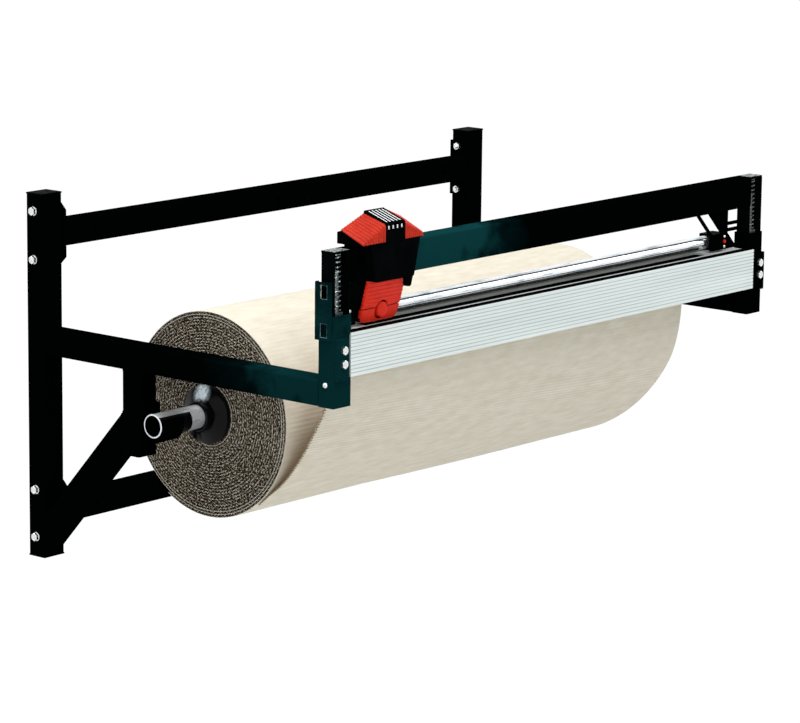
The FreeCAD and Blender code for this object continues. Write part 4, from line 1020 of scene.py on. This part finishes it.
# The caps' upward faces take a pale grey: a painted highlight.
cap_top_highlight = new_finish("plastic_painted_highlight", gloss=0.2)
shaded(cap_top_highlight, grain(cap_top_highlight, 0.005, 4.0),
       [(0.38, (0.01, 0.013, 0.013)), (0.6, (0.34, 0.38, 0.38))])
post_caps.data.materials.append(cap_top_highlight)
for face in post_caps.data.polygons:
    if face.normal.z > 0.9:
        face.material_index = 1
# The teal in these stops is a painted sheen on the portal tube, strongest beside the cutting head.
bridge_enamel = black_with_painted_sheen("bridge_enamel", centre=(-0.33, -0.72, 0.27), reach=0.26, stops=[
    (0.06, (0.0004, 0.0008, 0.0009)), (0.18, (0.0008, 0.0070, 0.0080)),
    (0.34, (0.0042, 0.042, 0.045))])
place("portal_tube", straight_tube("portal_bar", "x", wall=3.0, radius=4.5), bridge_enamel,
      "bridge", "frame_black", ["portal_bar"])
softened("left_gusset", 0.4, black_plastic)
softened("right_gusset", 0.4, black_enamel)
softened("tube_blocks", 0.8, black_plastic)
guide_chrome = new_finish("guide_chrome", metallic=0.9)
shaded(guide_chrome, grain(guide_chrome, 0.007, 5.0, (0.12, 1, 1)),
       [(0.34, (0.42, 0.46, 0.50)), (0.46, (0.80, 0.85, 0.89)), (0.62, (0.93, 0.96, 0.98))])
roughened(guide_chrome, grain(guide_chrome, 0.006, 4.0, (0.15, 1, 1)), 0.07, 0.2)
guide_left, guide_right = -562.5, 530.5
guide_y, guide_z = -676, 183
guide_radius, guide_bore = 12.5, 11.0
place("chromed_guide", ring_part(guide_left, guide_right, guide_radius, guide_bore, guide_y,
                                 guide_z, 0.4),
      guide_chrome, "bridge", "chromed_tube", ["guide_tube"])
rod_radius = 3.5
rod_parts = []
for rod_x0, rod_x1, rod_z in ((-570.5, guide_left, 203), (guide_right, 570.5, 203),
                              (guide_right, 570.5, 215)):
    rod_parts.append(turned([(0, rod_radius), (rod_x1 - rod_x0, rod_radius)],
                            (rod_x0, -694.5, rod_z),
                            (1, 0, 0), 20))
place("tie_bars", joined(*rod_parts), black_enamel, "bridge", "frame_black", ["tie_rods"])
gusset_face_y = -697
button_x = 519.5
gusset_parts = []
for screw_x in (-547.5, button_x):
    for screw_z in (192.5, 173.5):
        gusset_parts.append(turned([(-9, 2.4), (0, 2.4), (0, 3.2), (0.6, 3.2), (1.9, 2.7),
                                    (2.5, 1.8), (2.5, 1.2), (1.2, 1.2)],
                                   (screw_x, gusset_face_y, screw_z), (0, -1, 0), 24))
place("gusset_button_screws", joined(*gusset_parts), zinc, "bridge", "zinc_steel",
      ["gusset_screws"])
bridge_beads = [bead((-570.2, -719, 245.5), (-570.2, -688, 245.5), 1.6),
                bead((-570.2, -686, 248), (-570.2, -686, 298), 1.4)]
place("bridge_welds", joined(*bridge_beads, *[mirrored(part) for part in bridge_beads],
                             bead((514, -691.8, 244.8), (529, -691.8, 244.8), 1.3)),
      black_enamel, "bridge", "frame_black", smooth=60)


# Stop button.
# A small red moulded button pressed into the right gusset between its two screws.
def moulded_red(name, spot, deep, bright, gloss):
    """Red moulded plastic between two reds, in spots of a size in metres."""
    finish = new_finish(name, gloss=gloss)
    finish.node_tree.nodes["Principled BSDF"].inputs["Specular Tint"].default_value = (
        1.0, 0.55, 0.40, 1)
    shaded(finish, grain(finish, spot, 4.0), [(0.3, deep), (0.7, bright)])
    roughened(finish, grain(finish, 0.006, 3.0), 0.36, 0.5)
    embossed(finish, grain(finish, 0.0009, 2.0), 0.00003)
    return finish


red_plastic = moulded_red("red_plastic", 0.03, (0.80, 0.024, 0.010), (0.94, 0.036, 0.015), 0.22)
place("red_button", turned([(0, 3.5), (1.8, 3.5), (2.5, 3.1), (2.9, 2.2), (3.0, 1.1)],
                           (button_x, gusset_face_y, guide_z), (0, -1, 0), 32), red_plastic, "bridge",
      "head_red", ["stop_button"])


# Cutting head's black housings.
# Moulded shells screwed together round the portal tube: the front, top and rear walls, and the
# lower block that runs on the guide tube in two white bushes and holds the blade.
for housing in ("head_front_housing", "head_top_housing", "head_rear_housing",
                "head_lower_housing"):
    softened(housing, 1.6, black_plastic, segments=3)
skirt_outline = [(-452.0, 244.5), (-452.0, 230.0), (-449.5, 227.0), (-441.5, 226.0),
                 (-438.5, 228.5), (-433.8, 244.5)]
place("front_housing_skirt", loft([[(x, y, z) for x, z in skirt_outline]
                                   for y in (-737.9, -731.0)]),
      black_plastic, "cutting_head", "head_black")
softened("rear_cover", 1.0, red_plastic, segments=3)
softened("bar_glides", 0.25, black_plastic)
bush_white = new_finish("bearing_plastic", gloss=0.4)
shaded(bush_white, grain(bush_white, 0.01, 3.0),
       [(0.3, (0.68, 0.67, 0.63)), (0.7, (0.80, 0.79, 0.75))])
softened("tube_bushes", 0.3, bush_white)


# Ridge and grips.
# The hand rests on two ribbed red grips that fall away from a black ridge. Five pale slots are
# let into the ridge's top, and four short pale dashes into its front edge.
head_x = -481.5
ridge_half = 25.0
grip_foot_z, grip_rear_foot_z = 308, 329
slot_pitch = 8.4
slot_half = 2.0
first_slot = -2 * slot_pitch
grip_red = moulded_red("grip_red", 0.02, (0.45, 0.021, 0.009), (0.58, 0.031, 0.013), 0.2)
pale_insert = new_finish("pale_insert", gloss=0.4)
shaded(pale_insert, grain(pale_insert, 0.01, 3.0),
       [(0.3, (0.80, 0.84, 0.84)), (0.7, (0.92, 0.94, 0.94))])


def side_outline(front_top, rear_top, inset, round_front, sink=0.0):
    """The grip's outline from the side, (y, z), with a round front corner."""
    y0, y1 = -740 + inset, -690 - inset * 0.3
    front_top, rear_top = front_top - inset, rear_top - inset
    slope = math.atan2(rear_top - front_top, y1 - y0)
    sweep = math.pi / 2 - slope
    cut = round_front * math.tan(sweep / 2)
    centre = (y0 + round_front, front_top - cut)
    points = [(y0, grip_foot_z), (y0, front_top - cut - 0.01)]
    for step in range(1, 7):
        angle = math.pi - sweep * step / 6
        points.append((centre[0] + round_front * math.cos(angle),
                       centre[1] + round_front * math.sin(angle)))
    y_start = points[-1][0] + 2.0
    z_start = points[-1][1] + 2.0 * math.tan(slope)
    points.append((y_start, z_start - sink))
    y_end = y1 - 4.0
    z_end = z_start + (y_end - y_start) * math.tan(slope)
    points.append((y_end, z_end - sink))
    points += [(y1 - 1.2, rear_top - 0.3), (y1, rear_top - 1.5), (y1, grip_rear_foot_z)]
    return points


def grip_part(sign, span, rear_top, rear_fall, front_top, front_fall):
    """Nine rounded ribs run over the top and down the front."""
    ribs, fine = 9, 10
    rings = []
    for step in range(ribs * fine + 1):
        share = step / (ribs * fine)
        groove = 1 - abs(math.sin(math.pi * ribs * share)) ** 0.55
        inset = 2.0 * groove
        if step in (0, ribs * fine):
            inset = 0.8
        outline = side_outline(front_top - front_fall * share, rear_top - rear_fall * share,
                               inset, 6.5 - 3.2 * share)
        x = head_x + sign * (ridge_half + (span - ridge_half) * share)
        rings.append([(x, y, z) for y, z in outline])
    return loft(rings)


def ridge_part():
    """The block between the grips; each slot is a stretch where the top is sunk."""
    edges = [(-ridge_half, 0.0, 1.0), (1.0 - ridge_half, 0.0, 0.0)]
    for slot in range(5):
        middle = first_slot + slot_pitch * slot
        edges += [(middle - slot_half - 0.02, 0.0, 0.0), (middle - slot_half, 0.5, 0.0),
                  (middle + slot_half, 0.5, 0.0), (middle + slot_half + 0.02, 0.0, 0.0)]
    edges += [(ridge_half - 1.0, 0.0, 0.0), (ridge_half, 0.0, 1.0)]
    rings = []
    for x, sink, inset in edges:
        outline = side_outline(339, 356, inset + 0.35, 5.0, sink)
        rings.append([(head_x + x, y, z) for y, z in outline])
    return loft(rings)


left_grip_part = grip_part(-1, span=82, rear_top=352, rear_fall=21, front_top=337.5,
                           front_fall=26.5)
right_grip_part = grip_part(1, span=71, rear_top=355, rear_fall=19, front_top=336, front_fall=22)
for side, part in (("left", left_grip_part), ("right", right_grip_part)):
    place(side + "_ribbed_grip", part, grip_red, "cutting_head", "head_red",
          [side + "_grip"], smooth=50)
ridge = place("slotted_ridge", ridge_part(), black_plastic, "cutting_head", "head_black",
              ["grip_ridge"], smooth=35)
ridge.data.materials.append(pale_insert)
for face in ridge.data.polygons:
    middle = face.center * 1000
    slot_place = (middle.x - head_x - first_slot) / slot_pitch + 0.5
    across = abs((slot_place % 1) - 0.5) * slot_pitch
    if face.normal.z > 0.8 and across < 1.4 and 0 < slot_place < 5 and -733 < middle.y < -694:
        face.material_index = 1
dash_pitch = 11.0
dash_wide = 3.0
dash_deep = 1.5
dash_parts = []
for dash in range(4):
    dash_left = head_x - 19.7 + dash_pitch * dash
    dash_right = dash_left + dash_wide
    dash_parts.append(loft([[(dash_left, y, z), (dash_right, y, z), (dash_right, y + dash_deep, z),
                             (dash_left, y + dash_deep, z)]
                            for y, z in ((-739.95, 328.5), (-739.95, 333.0), (-739.6, 334.5))]))
place("slot_ends", joined(*dash_parts), pale_insert, "cutting_head", "head_black")


# Front covers and blade boss.
# Two red moulded shells wrap the lower block: the upper with six thin ribs, the lower rounded
# off below. A round cap sits to the right in a deeper round recess, over the blade's axle.
cover_foot_y, cover_foot_z = -703.5, 169
cover_top_y, cover_top_z = -723, 243
cover_half = 48.5
lower_cover_top, upper_cover_foot = 192.3, 193.9
rib_pitch = 7.0
rib_count = 6
axle_z = 189


def cover_face(z):
    """How far forward the covers' sloping front is at a height."""
    share = (z - cover_foot_z) / (cover_top_z - cover_foot_z)
    return cover_foot_y + (cover_top_y - cover_foot_y) * share


def shell_ring(half, front, skirt, z):
    """One level of a shell: a rounded front and two short skirts round the block."""
    corner = 3.6
    wall = 2.1
    outline = [(-half, front + skirt), (-half, front + corner)]
    for step in range(1, 6):
        angle = math.pi + math.pi / 2 * step / 6
        outline.append((-half + corner + corner * math.cos(angle),
                        front + corner + corner * math.sin(angle)))
    outline += [(-half + corner, front), (-half * 0.5, front - 0.25), (0, front - 0.35)]
    outline += [(-x, y) for x, y in reversed(outline[:-1])]
    inner = half - wall
    outline += [(inner, front + skirt), (inner, front + 3.5), (-inner, front + 3.5),
                (-inner, front + skirt)]
    return [(head_x + x, y, z) for x, y in outline]


rib_feet = [cover_top_z - rib_pitch * rib for rib in range(rib_count, 0, -1)]
upper_levels = [upper_cover_foot, upper_cover_foot + 0.5]
for foot in rib_feet:
    upper_levels += [foot - 0.01, foot + 0.5, foot + 2.1, foot + 2.61]
upper_levels += [cover_top_z - 0.6, cover_top_z]
upper_rings = []
for z in upper_levels:
    proud = 0.9 if any(0.3 < z - foot < 2.3 for foot in rib_feet) else 0.0
    edge = 0.5 if z in (upper_cover_foot, cover_top_z) else 0.0
    upper_rings.append(shell_ring(cover_half - edge, cover_face(z) - proud + edge, 5.0, z))
upper_shell = place("upper_red_cover", loft(upper_rings), red_plastic, "cutting_head", "head_red",
                    ["upper_cover"], smooth=40)
lower_rings = []
lower_steps = 16
lower_edges = {0: 1.6, 1: 0.5, lower_steps: 0.5}
for step in range(lower_steps + 1):
    z = cover_foot_z + (lower_cover_top - cover_foot_z) * step / lower_steps
    share = (z - cover_foot_z) / 24.0
    half = cover_half - 10.5 * (1 - math.sqrt(1 - (1 - share) ** 2))
    edge = lower_edges.get(step, 0.0)
    lower_rings.append(shell_ring(half - edge, cover_face(z) + edge, 7.0, z))
lower_shell = place("lower_red_cover", loft(lower_rings), red_plastic, "cutting_head",
                    "head_red", ["lower_cover"], smooth=40)
for shell in (upper_shell, lower_shell):
    drilled(shell, (head_x, -730, axle_z), (0, 1, 0), radius=16.2, depth=40)
boss_front = cover_face(axle_z) - 2.5
boss_profile = [(0, 13.4), (10.0, 13.4), (12.2, 13.0), (13.2, 12.0), (13.7, 9.5), (13.9, 5.0)]
boss_part = turned(boss_profile, (head_x + 2.3, boss_front + 13.9, 188.6), (0, -1, 0), 48)
place("round_cap", boss_part, red_plastic, "cutting_head", "head_red", ["blade_boss"], smooth=30)
recess_part = turned([(0, 16.1), (2.0, 16.1)], (head_x, boss_front + 12.0, axle_z), (0, -1, 0),
                     48)
place("cap_recess", recess_part, black_plastic, "cutting_head", "head_black")


# Rotary blade and its pin.
# A round steel blade, ground to an edge on both faces, turns on a pin behind the cap.
blade_steel = new_finish("blade_steel", metallic=1.0)
shaded(blade_steel, grain(blade_steel, 0.004, 3.0, (1, 0.1, 1)),
       [(0.3, (0.55, 0.56, 0.57)), (0.7, (0.80, 0.81, 0.82))])
roughened(blade_steel, grain(blade_steel, 0.002, 3.0), 0.14, 0.3)
place("ground_blade", turned([(0, 4.1), (0, 18.5), (0.42, 22.5), (0.58, 22.5), (1.0, 18.5),
                              (1.0, 4.1)], (head_x, -695.5, axle_z), (0, 1, 0), 72,
                             bored=True),
      blade_steel, "blade", "bare_steel", ["rotary_blade"], smooth=8)
pin_low, pin_high = corners("blade_pin")
pin_run = pin_high[1] - pin_low[1]
place("turned_pin", turned([(0, 3.4), (0.6, 4.0), (pin_run - 0.6, 4.0), (pin_run, 3.4)],
                           (head_x, pin_low[1], axle_z), (0, 1, 0), 24),
      blade_steel, "cutting_head", "bare_steel", ["blade_pin"])
